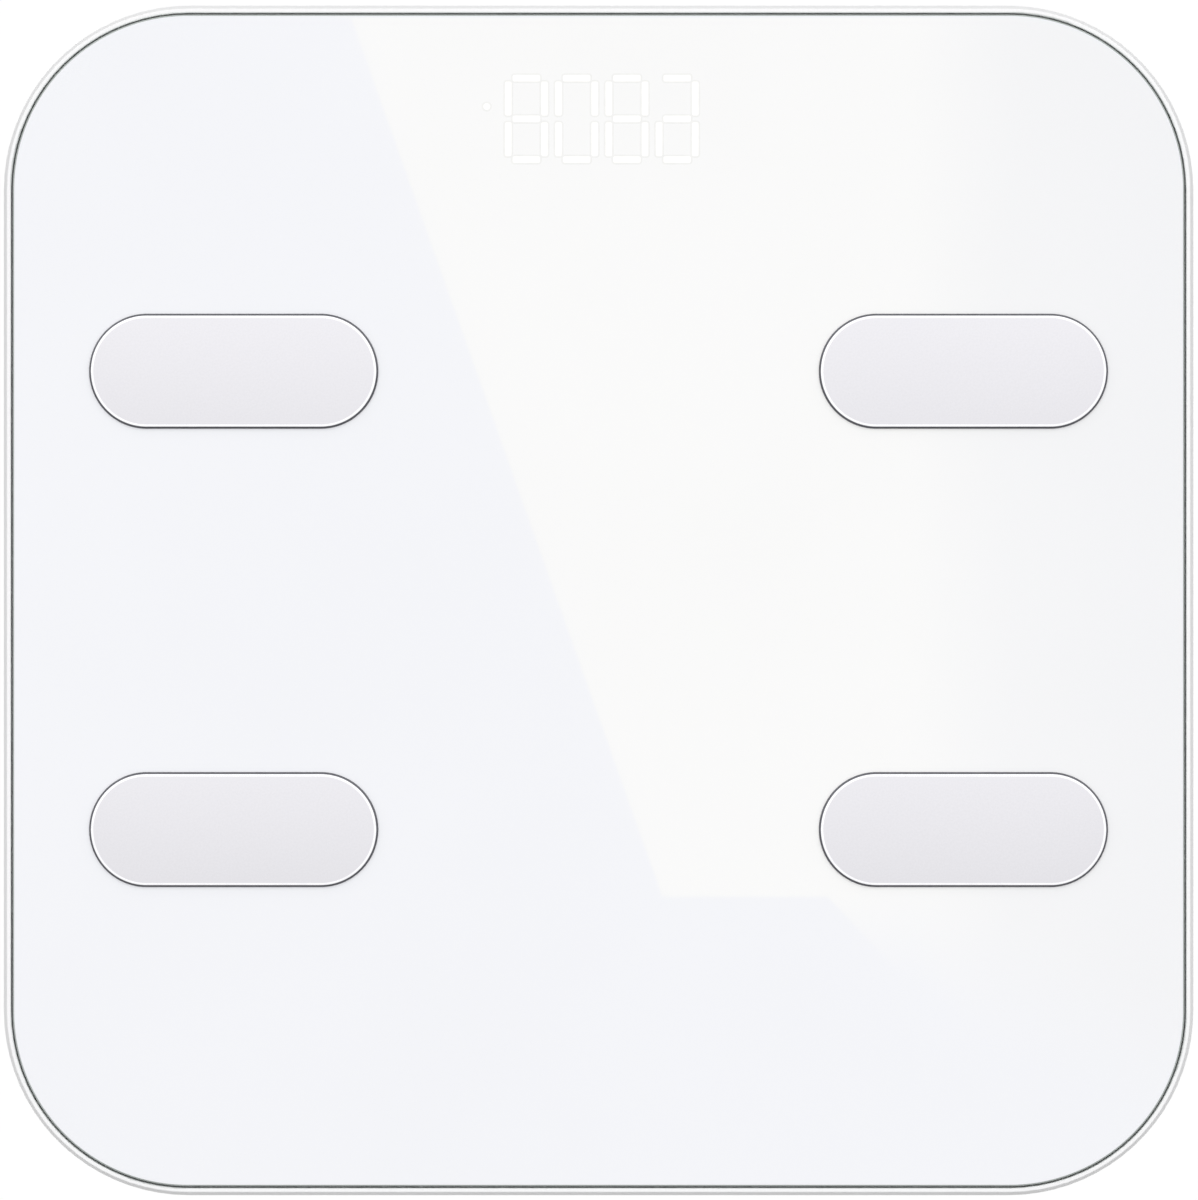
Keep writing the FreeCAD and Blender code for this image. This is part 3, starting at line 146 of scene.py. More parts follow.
# silicone brushed on and cured: milky, rubbery, with soft hills
silicone, tree, shader, place = finish("cured_white_silicone", "#dfdfd8", Roughness=0.45, IOR=1.41)
hills = grain(tree, shader, place, 2.5, 0.25, 0.8, 1.0)
vary(tree, shader, "Roughness", hills, 0.38, 0.52)
vary(tree, shader, "Base Color", hills, "#dadad2", "#e5e5de")
paint(silicone, "gauge_coatings")

# natural acetal: a waxy off-white with a slight shine
acetal, tree, shader, place = finish("natural_moulded_acetal", "#e6e4db", Roughness=0.36, IOR=1.48)
flow = grain(tree, shader, place, 4.0, 0.03, 0.4, 2.0)
vary(tree, shader, "Roughness", flow, 0.31, 0.42)
vary(tree, shader, "Base Color", flow, "#e2e0d6", "#eae8e0")
paint(acetal, *["cell_holder_" + c for c in corners])


# ---------------------------------------------------------------------------------------------
# Leads. Stranded copper in extruded PVC, from the load cells, electrodes and batteries to the
# board. They lie in lanes under the deck.

# extruded PVC: smooth along its length, dusted so that it doesn't stick to itself
vinyl, tree, shader, place = finish("extruded_dark_PVC", "#3b3c41", Roughness=0.42, IOR=1.53)
dusting = grain(tree, shader, place, 0.8, 0.01, 0.4)
vary(tree, shader, "Roughness", dusting, 0.36, 0.52)
vary(tree, shader, "Base Color", dusting, "#36373c", "#424348")
paint(vinyl, "electrode_leads", "battery_leads", *["cell_leads_" + c for c in corners])


# ---------------------------------------------------------------------------------------------
# Circuit board and what is soldered to it: chips, radio module, capacitors, crystal, resistors,
# plug housings and the unit switch.

# solder mask over woven glass fibre: glossy green with the weave just showing through
board, tree, shader, place = finish("green_solder_mask", "#1f5a37", Roughness=0.3, IOR=1.55)
shader.inputs["Coat Weight"].default_value = 0.4
shader.inputs["Coat Roughness"].default_value = 0.12
weave = grain(tree, shader, place, 0.5, 0.008, 0.5, 1.0, (2, 1, 1))
vary(tree, shader, "Base Color", weave, "#1a5231", "#24633e")
paint(board, "main_board")

# epoxy moulding compound: black, matt, faintly speckled with filler
epoxy, tree, shader, place = finish("epoxy_moulding_compound", "#1c1c1e", Roughness=0.62)
filler = grain(tree, shader, place, 0.15, 0.006, 0.5)
vary(tree, shader, "Roughness", filler, 0.55, 0.7)
vary(tree, shader, "Base Color", filler, "#19191b", "#222225")
paint(epoxy, "controller_chips")

# tin-plated steel can: soft silver with faint clouds
tin, tree, shader, place = finish("tinned_steel_can", "#c6c6c4", Metallic=1.0, Roughness=0.28)
clouds = grain(tree, shader, place, 1.5, 0.004, 0.4)
vary(tree, shader, "Roughness", clouds, 0.22, 0.36)
vary(tree, shader, "Base Color", clouds, "#bfbfbd", "#cccccb")
paint(tin, "radio_module", "clock_crystal")

# drawn aluminium can: bright, with draw lines up its side
aluminium, tree, shader, place = finish("drawn_aluminium_can", "#d3d4d6", Metallic=1.0, Roughness=0.25)
draw = grain(tree, shader, place, 0.2, 0.006, 0.4, 2.0, (1, 1, 12))
vary(tree, shader, "Roughness", draw, 0.2, 0.32)
vary(tree, shader, "Base Color", draw, "#cdced0", "#d9dadc")
paint(aluminium, "board_capacitors")

# thick-film chip: a black glaze with tinned ends too small to tell apart
glaze, tree, shader, place = finish("resistor_glaze", "#232427", Roughness=0.35)
fired = grain(tree, shader, place, 0.3, 0.01, 0.5)
vary(tree, shader, "Roughness", fired, 0.28, 0.42)
vary(tree, shader, "Base Color", fired, "#1f2023", "#2a2b2f")
paint(glaze, "chip_resistors")

# natural nylon: creamy, a little translucent, slightly shiny
nylon, tree, shader, place = finish("natural_nylon", "#e3dfd0", Roughness=0.4, IOR=1.53)
sink = grain(tree, shader, place, 1.2, 0.02, 0.4)
vary(tree, shader, "Roughness", sink, 0.34, 0.46)
vary(tree, shader, "Base Color", sink, "#dedaca", "#e9e5d8")
paint(nylon, "lead_connectors")

# black polyamide switch body and plunger: dark, dry, fine grained
switch, tree, shader, place = finish("black_moulded_polyamide", "#202023", Roughness=0.5)
dry = grain(tree, shader, place, 0.25, 0.008, 0.5)
vary(tree, shader, "Roughness", dry, 0.44, 0.58)
vary(tree, shader, "Base Color", dry, "#1c1c1f", "#262629")
paint(switch, "tact_switch", "tact_plunger")


# ---------------------------------------------------------------------------------------------
# Display parts. White LED chips shine up through wells in a moulded reflector, a diffuser film
# and a black foam gasket, and then through the enamel of the glass.

# titanium-filled polycarbonate: the whitest plastic there is, satin so that the wells glow evenly
reflector, tree, shader, place = finish("white_reflector_polycarbonate", "#f2f2f0", Roughness=0.45, IOR=1.58)
flow = grain(tree, shader, place, 1.5, 0.01, 0.4)
vary(tree, shader, "Roughness", flow, 0.4, 0.5)
vary(tree, shader, "Base Color", flow, "#efefed", "#f5f5f3")
paint(reflector, "display_reflector")

# phosphor in silicone: pale yellow when seen unlit, with light behind it
phosphor, tree, shader, place = finish("phosphor_silicone", "#f3ecc0", Roughness=0.35, Emission_Strength=0.6)
shader.inputs["Emission Color"].default_value = linear("#fffdf2")
specks = grain(tree, shader, place, 0.1, 0.004, 0.4)
vary(tree, shader, "Base Color", specks, "#efe7b4", "#f7f1cc")
paint(phosphor, "segment_leds")

# polyester film, frosted on one side: even, milky and matt
film, tree, shader, place = finish("frosted_polyester_film", "#ededee", Roughness=0.6, IOR=1.57)
frost = grain(tree, shader, place, 0.12, 0.006, 0.5)
vary(tree, shader, "Roughness", frost, 0.54, 0.68)
vary(tree, shader, "Base Color", frost, "#e9e9ea", "#f1f1f2")
paint(film, "diffuser_film")

# open-cell foam: black, full of small pits, no shine
foam, tree, shader, place = finish("black_urethane_foam", "#19191a", Roughness=0.95)
cells = grain(tree, shader, place, 0.35, 0.15, 1.0, 2.0)
vary(tree, shader, "Roughness", cells, 0.9, 1.0)
vary(tree, shader, "Base Color", cells, "#131314", "#222224")
paint(foam, "light_gasket")


# ---------------------------------------------------------------------------------------------
# Battery bay. Three AAA cells lie side by side between nickel-plated contacts, one flat and one
# coiled spring to each cell.

# nickel-plated spring strip and wire: brighter than the load cells, a trace yellow
contact, tree, shader, place = finish("nickel_plated_contact_strip", "#cfcbc2", Metallic=1.0, Roughness=0.22)
scuffs = grain(tree, shader, place, 0.7, 0.006, 0.4, 4.0)
vary(tree, shader, "Roughness", scuffs, 0.16, 0.34)
vary(tree, shader, "Base Color", scuffs, "#c7c3b9", "#d6d3cb")
paint(contact, "contact_plates", "contact_springs")

# each cell is a steel can in a shrunk plastic sleeve, and its two ends are left bare
sleeve, tree, shader, place = finish("shrunk_battery_sleeve", "#4a5260", Roughness=0.3, IOR=1.55)
creases = grain(tree, shader, place, 1.2, 0.02, 0.4, 2.0, (4, 1, 1))
vary(tree, shader, "Base Color", creases, "#454d5b", "#505867")
BARE_END = 1.6 * MM           # length of can that the sleeve leaves bare at each end
low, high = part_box("battery_cell_1")
sleeve_end = (high[0] - low[0]) / 2 - BARE_END
along = add(tree, "ShaderNodeSeparateXYZ", links={"Vector": place})
outward = add(tree, "ShaderNodeMath", {"operation": "ABSOLUTE"}, {0: along.outputs["X"]})
bare = add(tree, "ShaderNodeMath", {"operation": "GREATER_THAN", 1: sleeve_end}, {0: outward.outputs[0]})
tree.links.new(bare.outputs[0], shader.inputs["Metallic"])
paint(sleeve, "battery_cell_1", "battery_cell_2", "battery_cell_3")


# ---------------------------------------------------------------------------------------------
# Base cover, battery door, latch and foot caps. Moulded in the same white ABS as the frame, with a
# spark-eroded texture that hides scratches underneath.

# spark-eroded ABS: matt, with an even fine grit drawn a little coarser than the real 0.1 mm
textured, tree, shader, place = finish("spark_eroded_white_ABS", "#ececee", Roughness=0.55, IOR=1.54)
grit = grain(tree, shader, place, 0.35, 0.03, 0.45, 2.0)
vary(tree, shader, "Roughness", grit, 0.48, 0.62)
vary(tree, shader, "Base Color", grit, "#e8e8ea", "#f0f0f2")
paint(textured, "base_cover", "battery_door", "door_latch", *["foot_cap_" + c for c in corners])

# grey ABS button, polished by thumbs: smoother than the cover round it
button, tree, shader, place = finish("grey_moulded_ABS", "#8c8d92", Roughness=0.4, IOR=1.54)
worn = grain(tree, shader, place, 0.8, 0.01, 0.4)
vary(tree, shader, "Roughness", worn, 0.32, 0.48)
vary(tree, shader, "Base Color", worn, "#87888d", "#929398")
paint(button, "unit_button")

# moulded thermoplastic rubber: grey, dry, with a bloom of pale dust
rubber, tree, shader, place = finish("moulded_grey_rubber", "#8b8c8f", Roughness=0.8, IOR=1.5)
dust = grain(tree, shader, place, 0.6, 0.04, 0.5)
vary(tree, shader, "Roughness", dust, 0.7, 0.9)
vary(tree, shader, "Base Color", dust, "#818286", "#97989b")
paint(rubber, *["foot_pad_" + c for c in corners])

# zinc-plated steel screws: bluish grey, with passivation clouds
zinc, tree, shader, place = finish("zinc_plated_screw_steel", "#b3b7bd", Metallic=1.0, Roughness=0.32)
clouds = grain(tree, shader, place, 0.6, 0.008, 0.5)
vary(tree, shader, "Roughness", clouds, 0.26, 0.42)
vary(tree, shader, "Base Color", clouds, "#a8adb4", "#bec2c7")
paint(zinc, "cover_screws", "holder_screws", "board_screws")


# ---------------------------------------------------------------------------------------------
# Bond. A frame of acrylic foam tape holds the glass down on the deck and seals it.

# acrylic foam tape: white, matt, with fine closed cells
bond, tree, shader, place = finish("acrylic_foam_tape", "#dcdcdb", Roughness=0.85)
cells = grain(tree, shader, place, 0.3, 0.05, 0.7)
vary(tree, shader, "Roughness", cells, 0.8, 0.95)
vary(tree, shader, "Base Color", cells, "#d5d5d4", "#e2e2e1")
paint(bond, "glass_bond_tape")


# ---------------------------------------------------------------------------------------------
# Glass platform. Tempered float glass, 4 mm thick, with a ground arris round its top edge. White
# ceramic enamel is screen-printed on its underside, so the glass reads as a white gloss sheet.

low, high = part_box("glass_plate")
half = high[0]
FRAME_CORNER = 43.5 * MM
frame_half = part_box("top_frame")[1][0]
glass_corner = FRAME_CORNER - (frame_half - half)
ARRIS = 0.35 * MM             # ground band between the top and the side
EDGE_ROUND = 0.15 * MM        # softened corners of the arris
BACK_ROUND = 0.25 * MM        # softened corner under the side
FLAT_BORDER = 0.5 * MM        # flat band inside the arris, where the one big top face begins


def around(half_x, half_y, radius, steps):
    """Samples a rounded rectangle: the corners' middles and the outward directions (cos, sin) of the turn,
    steps + 1 of them per quarter."""
    angle = np.concatenate([np.linspace(q, q + np.pi / 2, steps + 1) for q in np.arange(4) * np.pi / 2])
    side_x = np.repeat([1, -1, -1, 1], steps + 1)
    side_y = np.repeat([1, 1, -1, -1], steps + 1)
    middles = np.stack([side_x * (half_x - radius), side_y * (half_y - radius)], axis=1)
    return middles, np.stack([np.cos(angle), np.sin(angle)], axis=1)


def carried(path, radius, profile):
    """A profile of (inset, height) carried round: middle + direction * (radius - inset)."""
    middles, outward = path
    inset, height = np.array(profile).T
    flat = middles[:, None] + outward[:, None] * (radius - inset)[None, :, None]
    z = np.broadcast_to(height[None, :, None], (*flat.shape[:2], 1))
    return np.concatenate([flat, z], axis=2)


def arc(centre, radius, start, stop, steps=5):
    """Points of a round in a profile, from start to stop degrees: centre + radius * (-cos, sin)."""
    turn = np.radians(np.linspace(start, stop, steps + 1))
    return list(zip(centre[0] - radius * np.cos(turn), centre[1] + radius * np.sin(turn)))


def solid(name, grid, materials, strips=None, sharp=50):
    """A closed mesh on a grid. Rows run round and meet, columns follow the profile, and a flat face shuts
    each end of it. strips gives each column's material, and the upper face has the first material."""
    rows, columns = grid.shape[:2]
    index = np.arange(rows * columns).reshape(rows, columns)
    after = np.roll(index, -1, axis=0)
    quads = np.stack([index[:, :-1], after[:, :-1], after[:, 1:], index[:, 1:]], axis=-1)
    strips = np.zeros(columns - 1, dtype=int) if strips is None else np.array(strips)
    faces = quads.reshape(-1, 4).tolist() + [index[::-1, 0].tolist(), index[:, -1].tolist()]
    mesh = bpy.data.meshes.new(name)
    mesh.from_pydata(grid.reshape(-1, 3).tolist(), [], faces)
    mesh.polygons.foreach_set("material_index", [*np.tile(strips, rows).tolist(), int(strips[0]), 0])
    mesh.polygons.foreach_set("use_smooth", [True] * len(faces))
    mesh.set_sharp_from_angle(angle=math.radians(sharp))
    for material in materials:
        mesh.materials.append(material)
    piece = bpy.data.objects.new(name, mesh)
    bpy.context.scene.collection.objects.link(piece)
    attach(piece, "scale_body")
    return piece


# enamel seen through glass: dead flat, a trace cooler than paper, under a mirror-clear surface
enamel, tree, shader, place = finish(
    "white_enamel_under_float_glass", "#f5f6fa", Roughness=0.7, IOR=1.5,
    Coat_Weight=1.0, Coat_Roughness=0.0, Coat_IOR=1.5,
)
clouds = add(tree, "ShaderNodeTexNoise", {"Scale": 1 / (60 * MM), "Detail": 2.0}, {"Vector": place})
vary(tree, shader, "Base Color", clouds.outputs["Fac"], "#f5f6fa", "#f6f7fb")
# ground arris, finely frosted: its grey-green is painted shade, for the light that goes in and stays,
# and it draws the dark line along the gap round the glass
arris_painted_shade, tree, shader, place = finish("ground_glass_arris_painted_shade", "#b4bbb8", Roughness=0.25, IOR=1.5)
frost = grain(tree, shader, place, 0.2, 0.01, 0.4)
vary(tree, shader, "Roughness", frost, 0.2, 0.34)
vary(tree, shader, "Base Color", frost, "#aeb5b2", "#b9c0bd")
# side of the glass: pale green, lit from inside by the white enamel
pale_side, tree, shader, place = finish("seamed_glass_side", "#e3eae6", Roughness=0.2, IOR=1.5)
seams = grain(tree, shader, place, 0.4, 0.01, 0.4, 3.0, (1, 1, 6))
vary(tree, shader, "Roughness", seams, 0.15, 0.3)
vary(tree, shader, "Base Color", seams, "#dfe6e2", "#e7eeea")

lean = EDGE_ROUND * math.tan(math.radians(22.5))
side_end = high[2] - ARRIS - lean
top_start = ARRIS + lean
profile = (
    arc((BACK_ROUND, low[2] + BACK_ROUND), BACK_ROUND, -90, 0)
    + arc((EDGE_ROUND, side_end), EDGE_ROUND, 0, 45)
    + arc((top_start, high[2] - EDGE_ROUND), EDGE_ROUND, 45, 90)
    + [(top_start + FLAT_BORDER, high[2])]
)
path = around(half, half, glass_corner, 48)
# strips: the glass side, then the arris in painted shade, then the enamel top
strips = [2] * 8 + [1] * 6 + [0] * 4
platform = solid(
    "glass_platform", carried(path, glass_corner, profile), [enamel, arris_painted_shade, pale_side],
    strips, sharp=60,
)
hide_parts("glass_plate")


# ---------------------------------------------------------------------------------------------
# Lit segments. The enamel is thin over the display, so each well of the reflector shows as a soft
# bar of white light, flush with the platform, when the scale is on.

low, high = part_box("display_reflector")
middle = (low + high) / 2
DIGIT_PITCH, DIGIT_WIDE, DIGIT_HIGH = 11.8 * MM, 8.5 * MM, 19.1 * MM
BAR = 1.55 * MM
BAR_GAP = 0.25 * MM
BAR_ROUND = 0.45 * MM
SHADE = 0.4 * MM              # painted shade: dim band round a bar, where the reflector's walls keep the light off
LIGHT_LIFT = 0.012 * MM       # just clear of the glass, so that the light isn't hidden in it
# a to g: place in half-digits, and whether the bar stands upright
BARS = {
    "a": (0, 1, False), "b": (1, 0.5, True), "c": (1, -0.5, True), "d": (0, -1, False),
    "e": (-1, -0.5, True), "f": (-1, 0.5, True), "g": (0, 0, False),
}
LIT = ["abcdefg", "abcdef", "abcdefg", "abcdeg"]
INDICATOR = 1.6 * MM          # width of the round light left of the digits
INDICATOR_ROUND = 0.79 * MM
INDICATOR_AT = (-27 * MM, 2.9 * MM)

# LED light in enamel: a clean white, a little brighter than the panel, under the same clear glass
glow, tree, shader, place = finish(
    "white_LED_light_in_enamel", "#f8f9fb", Roughness=0.7, Emission_Strength=0.05,
    Coat_Weight=1.0, Coat_Roughness=0.0, Coat_IOR=1.5,
)
shader.inputs["Emission Color"].default_value = linear("#ffffff")
flicker = add(tree, "ShaderNodeTexNoise", {"Scale": 1 / (2 * MM)}, {"Vector": place})
vary(tree, shader, "Base Color", flicker.outputs["Fac"], "#fafafc", "#fdfdff")
# painted shade round each bar: the same enamel a trace greyer, where the reflector's walls
# between the wells keep the light off
painted_shade_band, tree, shader, place = finish(
    "enamel_painted_shade_round_bar", "#eff0f3", Roughness=0.7, Coat_Weight=1.0, Coat_Roughness=0.0, Coat_IOR=1.5,
)
flicker = add(tree, "ShaderNodeTexNoise", {"Scale": 1 / (2 * MM)}, {"Vector": place})
vary(tree, shader, "Base Color", flicker.outputs["Fac"], "#eeeff2", "#f1f2f5")

glass_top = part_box("glass_plate")[1][2]


def light(name, x, y, wide, deep, round_r):
    """A bar of light at x, y: its outline, spread by SHADE at the glass, rises LIGHT_LIFT to a bright top."""
    ring = around(wide / 2, deep / 2, round_r, 6)
    profile = [(-SHADE, glass_top), (-SHADE, glass_top + LIGHT_LIFT / 2), (0.0, glass_top + LIGHT_LIFT)]
    grid = carried(ring, round_r, profile)
    grid[..., 0] += x
    grid[..., 1] += y
    # both strips carry the painted shade round the bar, and the top face is the lit bar
    solid(name, grid, [glow, painted_shade_band], [1, 1])


places = []
for digit, letters in enumerate(LIT):
    for letter in letters:
        across, along, upright = BARS[letter]
        wide, deep = (BAR, DIGIT_HIGH / 2 - BAR) if upright else (DIGIT_WIDE - BAR - 2 * BAR_GAP, BAR)
        x = middle[0] + (digit - 1.5) * DIGIT_PITCH + across * DIGIT_WIDE / 2
        places.append((x, middle[1] + along * DIGIT_HIGH / 2, wide, deep))
for number, place_and_size in enumerate(places):
    light(f"lit_segment_{number + 1:02d}", *place_and_size, BAR_ROUND)
light(
    "lit_indicator", middle[0] + INDICATOR_AT[0], middle[1] + INDICATOR_AT[1], INDICATOR, INDICATOR,
    INDICATOR_ROUND,
)


# ---------------------------------------------------------------------------------------------
# Electrodes. Stainless sheet pressed to a shallow tray with a slightly crowned top, bead blasted. Its
# turned-down edge has a bright band, painted highlight, and a dark flange, painted shade. Taped to the glass
# and pulled down by a stud.

CROWN = 0.3 * MM              # how much higher the middle is than the edge
EDGE_R = 0.7 * MM             # round of the turned-down edge
HIGHLIGHT_BAND_W = 0.3 * MM           # band of painted highlight inside that round
FOOT_LIFT = 0.02 * MM         # gap between its edge and what it stands on
RIDGE = 0.05 * MM             # half width of the flat left along the middle line
low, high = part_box("electrode_rear_right")
long_half = (high[0] - low[0]) / 2
radius = (high[1] - low[1]) / 2

# bead-blasted stainless: an even silky grey-white
blasted, tree, shader, place = finish("bead_blasted_stainless", "#d8d7db", Metallic=1.0, Roughness=0.34)
pits = grain(tree, shader, place, 0.45, 0.008, 0.3, 2.0)
vary(tree, shader, "Roughness", pits, 0.3, 0.38)
vary(tree, shader, "Base Color", pits, "#d6d5d9", "#dad9dd")
# buffed stainless: a painted highlight, brighter and sharper than the blasted top, so the edge draws a light
# and a dark line round each electrode
painted_highlight_band, tree, shader, place = finish("stainless_edge_painted_highlight", "#eeeef1", Metallic=1.0, Roughness=0.16)
scratches = grain(tree, shader, place, 0.3, 0.004, 0.3, 2.0, (6, 6, 1))
vary(tree, shader, "Roughness", scratches, 0.12, 0.22)
vary(tree, shader, "Base Color", scratches, "#ebebee", "#f2f2f5")
# sheared flange of the sheet, left as it was cut: dull, and its dark colour is painted shade that draws a
# dark line round each electrode
painted_shade_flange, tree, shader, place = finish("sheared_flange_painted_shade", "#77777c", Metallic=1.0, Roughness=0.4)
torn = grain(tree, shader, place, 0.25, 0.01, 0.5, 3.0, (1, 1, 5))
vary(tree, shader, "Roughness", torn, 0.34, 0.48)
vary(tree, shader, "Base Color", torn, "#717176", "#7d7d82")


def crowned(inset):
    """Height of the pressed top above its outline: CROWN * (1 - (distance from the middle line / half the
    width) ** 2)."""
    return CROWN * (1 - ((radius - inset) / radius) ** 2)


edge_z = high[2] - CROWN + crowned(EDGE_R)
rise = np.linspace(EDGE_R + HIGHLIGHT_BAND_W, radius - RIDGE, 16)
profile = [(0.0, low[2] + FOOT_LIFT)] + arc((EDGE_R, edge_z - EDGE_R), EDGE_R, 0, 90, 10)
profile += [(inset, high[2] - CROWN + crowned(inset)) for inset in rise]
path = around(long_half, radius, radius, 32)
# strips: the flange in painted shade, then the band of painted highlight, then the blasted top
strips = [2] * 9 + [1] * 3 + [0] * (len(profile) - 13)
for name in corners:
    middle = np.mean(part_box("electrode_" + name), axis=0)
    grid = carried(path, radius, profile)
    grid[..., :2] += middle[:2]
    pressing = solid(
        "electrode_pressing_" + name, grid, [blasted, painted_highlight_band, painted_shade_flange], strips,
    )
    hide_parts("electrode_" + name)

# black acrylic tape under the pressings
tape, tree, shader, place = finish("black_acrylic_tape", "#2b2b2c", Roughness=0.7)
cells = grain(tree, shader, place, 0.3, 0.02, 0.5)
vary(tree, shader, "Roughness", cells, 0.62, 0.8)
vary(tree, shader, "Base Color", cells, "#262627", "#333334")
paint(tape, "electrode_tape")

# studs and nuts: nickel over steel, turned, so a little brighter than the load cells
turned, tree, shader, place = finish("nickel_plated_turned_steel", "#bfbdb9", Metallic=1.0, Roughness=0.26)
rings = grain(tree, shader, place, 0.2, 0.01, 0.4, 2.0, (8, 8, 1))
vary(tree, shader, "Roughness", rings, 0.2, 0.34)
vary(tree, shader, "Base Color", rings, "#b6b4b0", "#c9c7c3")
paint(turned, "electrode_studs", "electrode_nuts")

# ring terminals: tin over brass, dull and pale
terminal, tree, shader, place = finish("tinned_brass", "#c9c8c1", Metallic=1.0, Roughness=0.35)
wiped = grain(tree, shader, place, 0.5, 0.008, 0.5)
vary(tree, shader, "Roughness", wiped, 0.28, 0.44)
vary(tree, shader, "Base Color", wiped, "#c0bfb7", "#d2d1cb")
paint(terminal, "electrode_terminals")


# ---------------------------------------------------------------------------------------------
# Studio: a white floor, a soft sky that is brightest overhead, and a card that only the glass
# mirrors.

FLOOR_HALF = 6
FLOOR_GLOW, FLOOR_SHARE = 1.1, 0.9  # strength of the white that is seen, and its share of the floor
floor_mesh = bpy.data.meshes.new("floor")
spread = [(x * FLOOR_HALF, y * FLOOR_HALF, 0) for x, y in ((-1, -1), (1, -1), (1, 1), (-1, 1))]
floor_mesh.from_pydata(spread, [], [(0, 1, 2, 3)])
floor = bpy.data.objects.new("floor", floor_mesh)
bpy.context.scene.collection.objects.link(floor)
paper, tree, shader, place = finish("white_paper_floor", "#8a8a8a", Roughness=0.9)
seen = add(tree, "ShaderNodeLightPath")
looked_at = seen.outputs["Is Camera Ray"]
for kind in ("Is Glossy Ray", "Is Transmission Ray"):
    either = add(
        tree, "ShaderNodeMath", {"operation": "ADD", "use_clamp": True},
        {0: looked_at, 1: seen.outputs[kind]},
    )
    looked_at = either.outputs[0]
share = add(tree, "ShaderNodeMath", {"operation": "MULTIPLY", 1: FLOOR_SHARE}, {0: looked_at})
white = add(tree, "ShaderNodeEmission", {"Color": (1, 1, 1, 1), "Strength": FLOOR_GLOW})
mixed = add(
    tree, "ShaderNodeMixShader",
    links={0: share.outputs[0], 1: shader.outputs[0], 2: white.outputs[0]},
)
tree.links.new(mixed.outputs[0], tree.nodes["Material Output"].inputs["Surface"])
floor_mesh.materials.append(paper)

# sky radiance: LEVEL + RISE * z + TILT * y * z, and LOBE * |x| * y more on the display side
LEVEL, RISE, TILT, LOBE = 0.1, 1.19, 0.6, 1.0
DARKEST = 0.05
world = bpy.data.worlds.new("studio")
bpy.context.scene.world = world
world.use_nodes = True
tree = world.node_tree
tree.nodes.clear()
way = add(tree, "ShaderNodeTexCoord").outputs["Generated"]
parts = add(tree, "ShaderNodeSeparateXYZ", links={"Vector": way})
slope = add(tree, "ShaderNodeMath", {"operation": "MULTIPLY_ADD", 1: TILT, 2: RISE}, {0: parts.outputs["Y"]})
overhead = add(
    tree, "ShaderNodeMath", {"operation": "MULTIPLY_ADD", 2: LEVEL},
    {0: parts.outputs["Z"], 1: slope.outputs[0]},
)
sideways = add(tree, "ShaderNodeMath", {"operation": "ABSOLUTE"}, {0: parts.outputs["X"]})
rearward = add(tree, "ShaderNodeMath", {"operation": "MAXIMUM", 1: 0.0}, {0: parts.outputs["Y"]})
lobes = add(
    tree, "ShaderNodeMath", {"operation": "MULTIPLY"}, {0: sideways.outputs[0], 1: rearward.outputs[0]},
)
sky = add(
    tree, "ShaderNodeMath", {"operation": "MULTIPLY_ADD", 1: LOBE},
    {0: lobes.outputs[0], 2: overhead.outputs[0]},
)
sky = add(tree, "ShaderNodeMath", {"operation": "MAXIMUM", 1: DARKEST}, {0: sky.outputs[0]})
seen = add(tree, "ShaderNodeLightPath")
strength = add(
    tree, "ShaderNodeMix", {"data_type": "FLOAT", 3: 1.0},
    {0: seen.outputs["Is Camera Ray"], 2: sky.outputs[0]},
)
dome = add(tree, "ShaderNodeBackground", {"Color": (1, 1, 1, 1)}, {"Strength": strength.outputs[0]})
add(tree, "ShaderNodeOutputWorld", links={"Surface": dome.outputs[0]})

LENS = 180.0
SENSOR = 36.0
SEEN = 0.282                  # height of the frame where it cuts a level plane near the glass
SEEN_Z = 0.0226               # where that plane lies
HEIGHT = SEEN * LENS / SENSOR + SEEN_Z
OFF_CENTRE = 0.0001           # how far the camera stands from the middle, in x and in y
camera_data = bpy.data.cameras.new("camera")
camera_data.sensor_fit = "VERTICAL"
camera_data.sensor_height = SENSOR
camera_data.lens = LENS
camera_data.clip_end = 20
camera = bpy.data.objects.new("camera", camera_data)
camera.location = (OFF_CENTRE, OFF_CENTRE, HEIGHT)
bpy.context.scene.collection.objects.link(camera)
bpy.context.scene.camera = camera

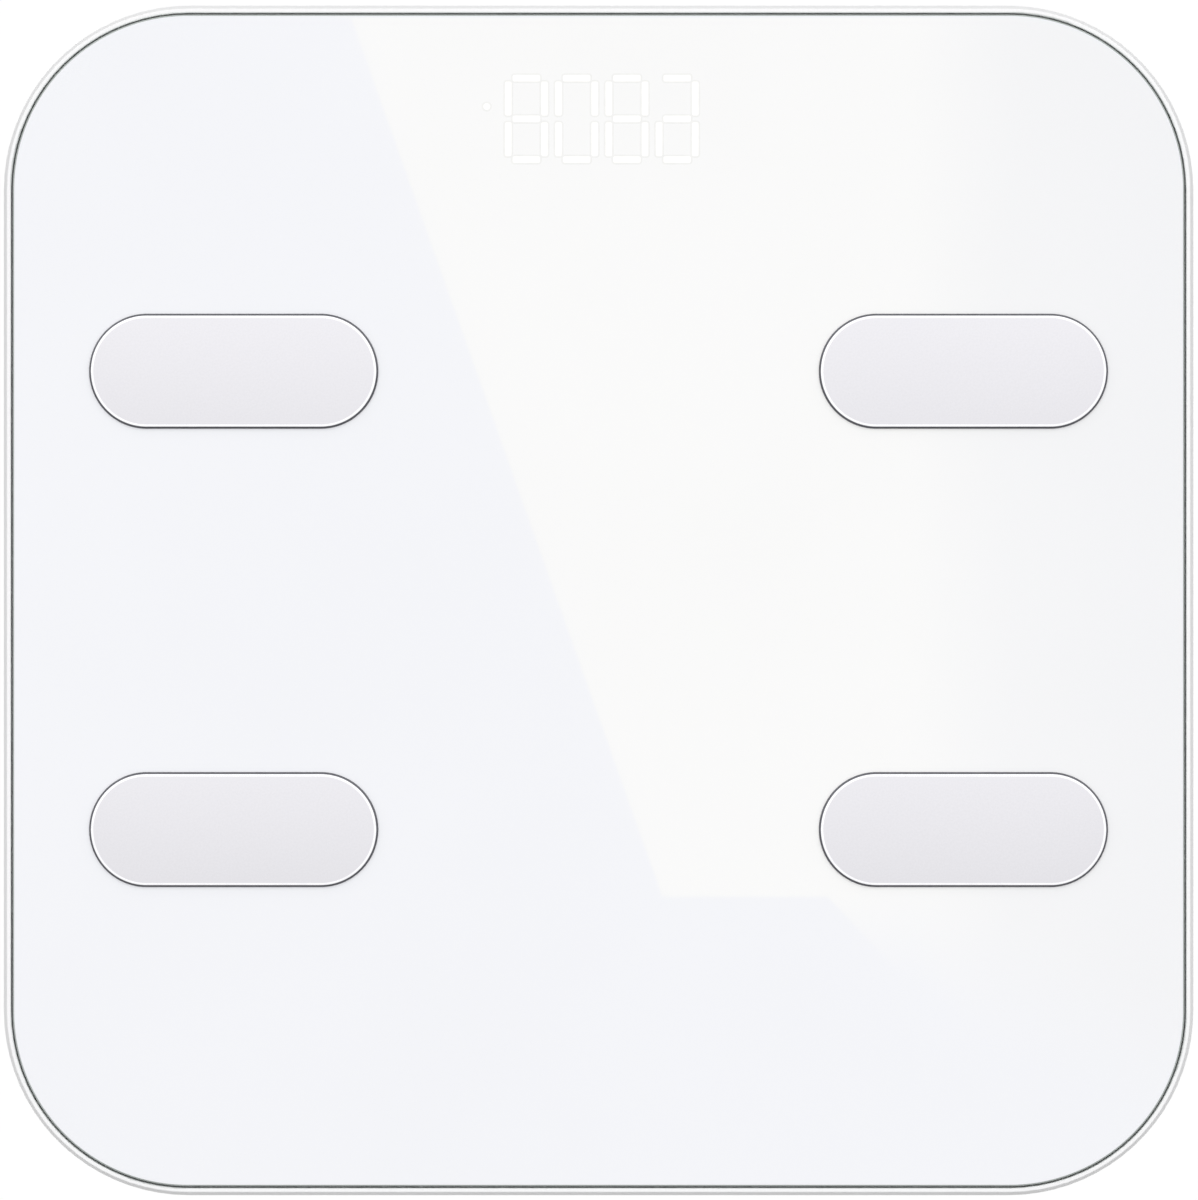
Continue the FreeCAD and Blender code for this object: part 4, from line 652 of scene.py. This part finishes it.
# corners of the card in millimetres, as its mirror image shows them on the glass, and how bright and how
# solid it is there: it dims to the right, and its near edge fades out. It hangs just above the camera
CARD_LIFT = 0.01
CARD = np.array([
    (-64.6, 155, 1, 1), (-58.4, 137.6, 1, 1), (14.4, -68, 1, 1), (15, -69.8, 1, 1), (54, -69.8, 1, 1),
    (73, -66, 1, 1), (97, -74, 0.6, 1), (131, -90, 0.45, 1), (165, -100, 0.4, 1),
    (165, 155, 0.4, 1), (131, 155, 0.45, 1), (97, 155, 0.6, 1), (73, 155, 1, 1),
    (73, -90, 1, 0), (97, -108, 0.6, 0), (131, -124, 0.45, 0), (165, -134, 0.4, 0),
])
spots = np.column_stack([2 * CARD[:, :2] * MM - camera.location[0], np.full(len(CARD), HEIGHT + CARD_LIFT)])
card_mesh = bpy.data.meshes.new("warm_card")
card_mesh.from_pydata(
    spots.tolist(), [],
    [(0, 1, 2, 3, 4, 5, 12), (12, 5, 6, 11), (11, 6, 7, 10), (10, 7, 8, 9), (4, 13, 5), (5, 13, 14, 6),
     (6, 14, 15, 7), (7, 15, 16, 8)],
)
for number, name in enumerate(("brightness", "cover")):
    card_mesh.attributes.new(name, "FLOAT", "POINT").data.foreach_set("value", CARD[:, 2 + number])
card = bpy.data.objects.new("warm_card", card_mesh)
bpy.context.scene.collection.objects.link(card)
for kind in ("camera", "diffuse", "transmission", "volume_scatter", "shadow"):
    setattr(card, "visible_" + kind, False)
silk, tree, shader, place = finish("warm_silk_card", "#000000")
seen = add(tree, "ShaderNodeLightPath")
brightness = add(tree, "ShaderNodeAttribute", {"attribute_name": "brightness"}).outputs["Fac"]
cover = add(tree, "ShaderNodeAttribute", {"attribute_name": "cover"}).outputs["Fac"]
lit = add(tree, "ShaderNodeEmission", {"Color": (2.4, 2.2, 1.35, 1)}, {"Strength": brightness})
clear = add(tree, "ShaderNodeBsdfTransparent")
solid_part = add(
    tree, "ShaderNodeMath", {"operation": "MULTIPLY"}, {0: cover, 1: seen.outputs["Is Singular Ray"]},
)
mixed = add(
    tree, "ShaderNodeMixShader", links={0: solid_part.outputs[0], 1: clear.outputs[0], 2: lit.outputs[0]},
)
tree.links.new(mixed.outputs[0], tree.nodes["Material Output"].inputs["Surface"])
card_mesh.materials.append(silk)

bpy.context.scene.view_settings.view_transform = "Standard"
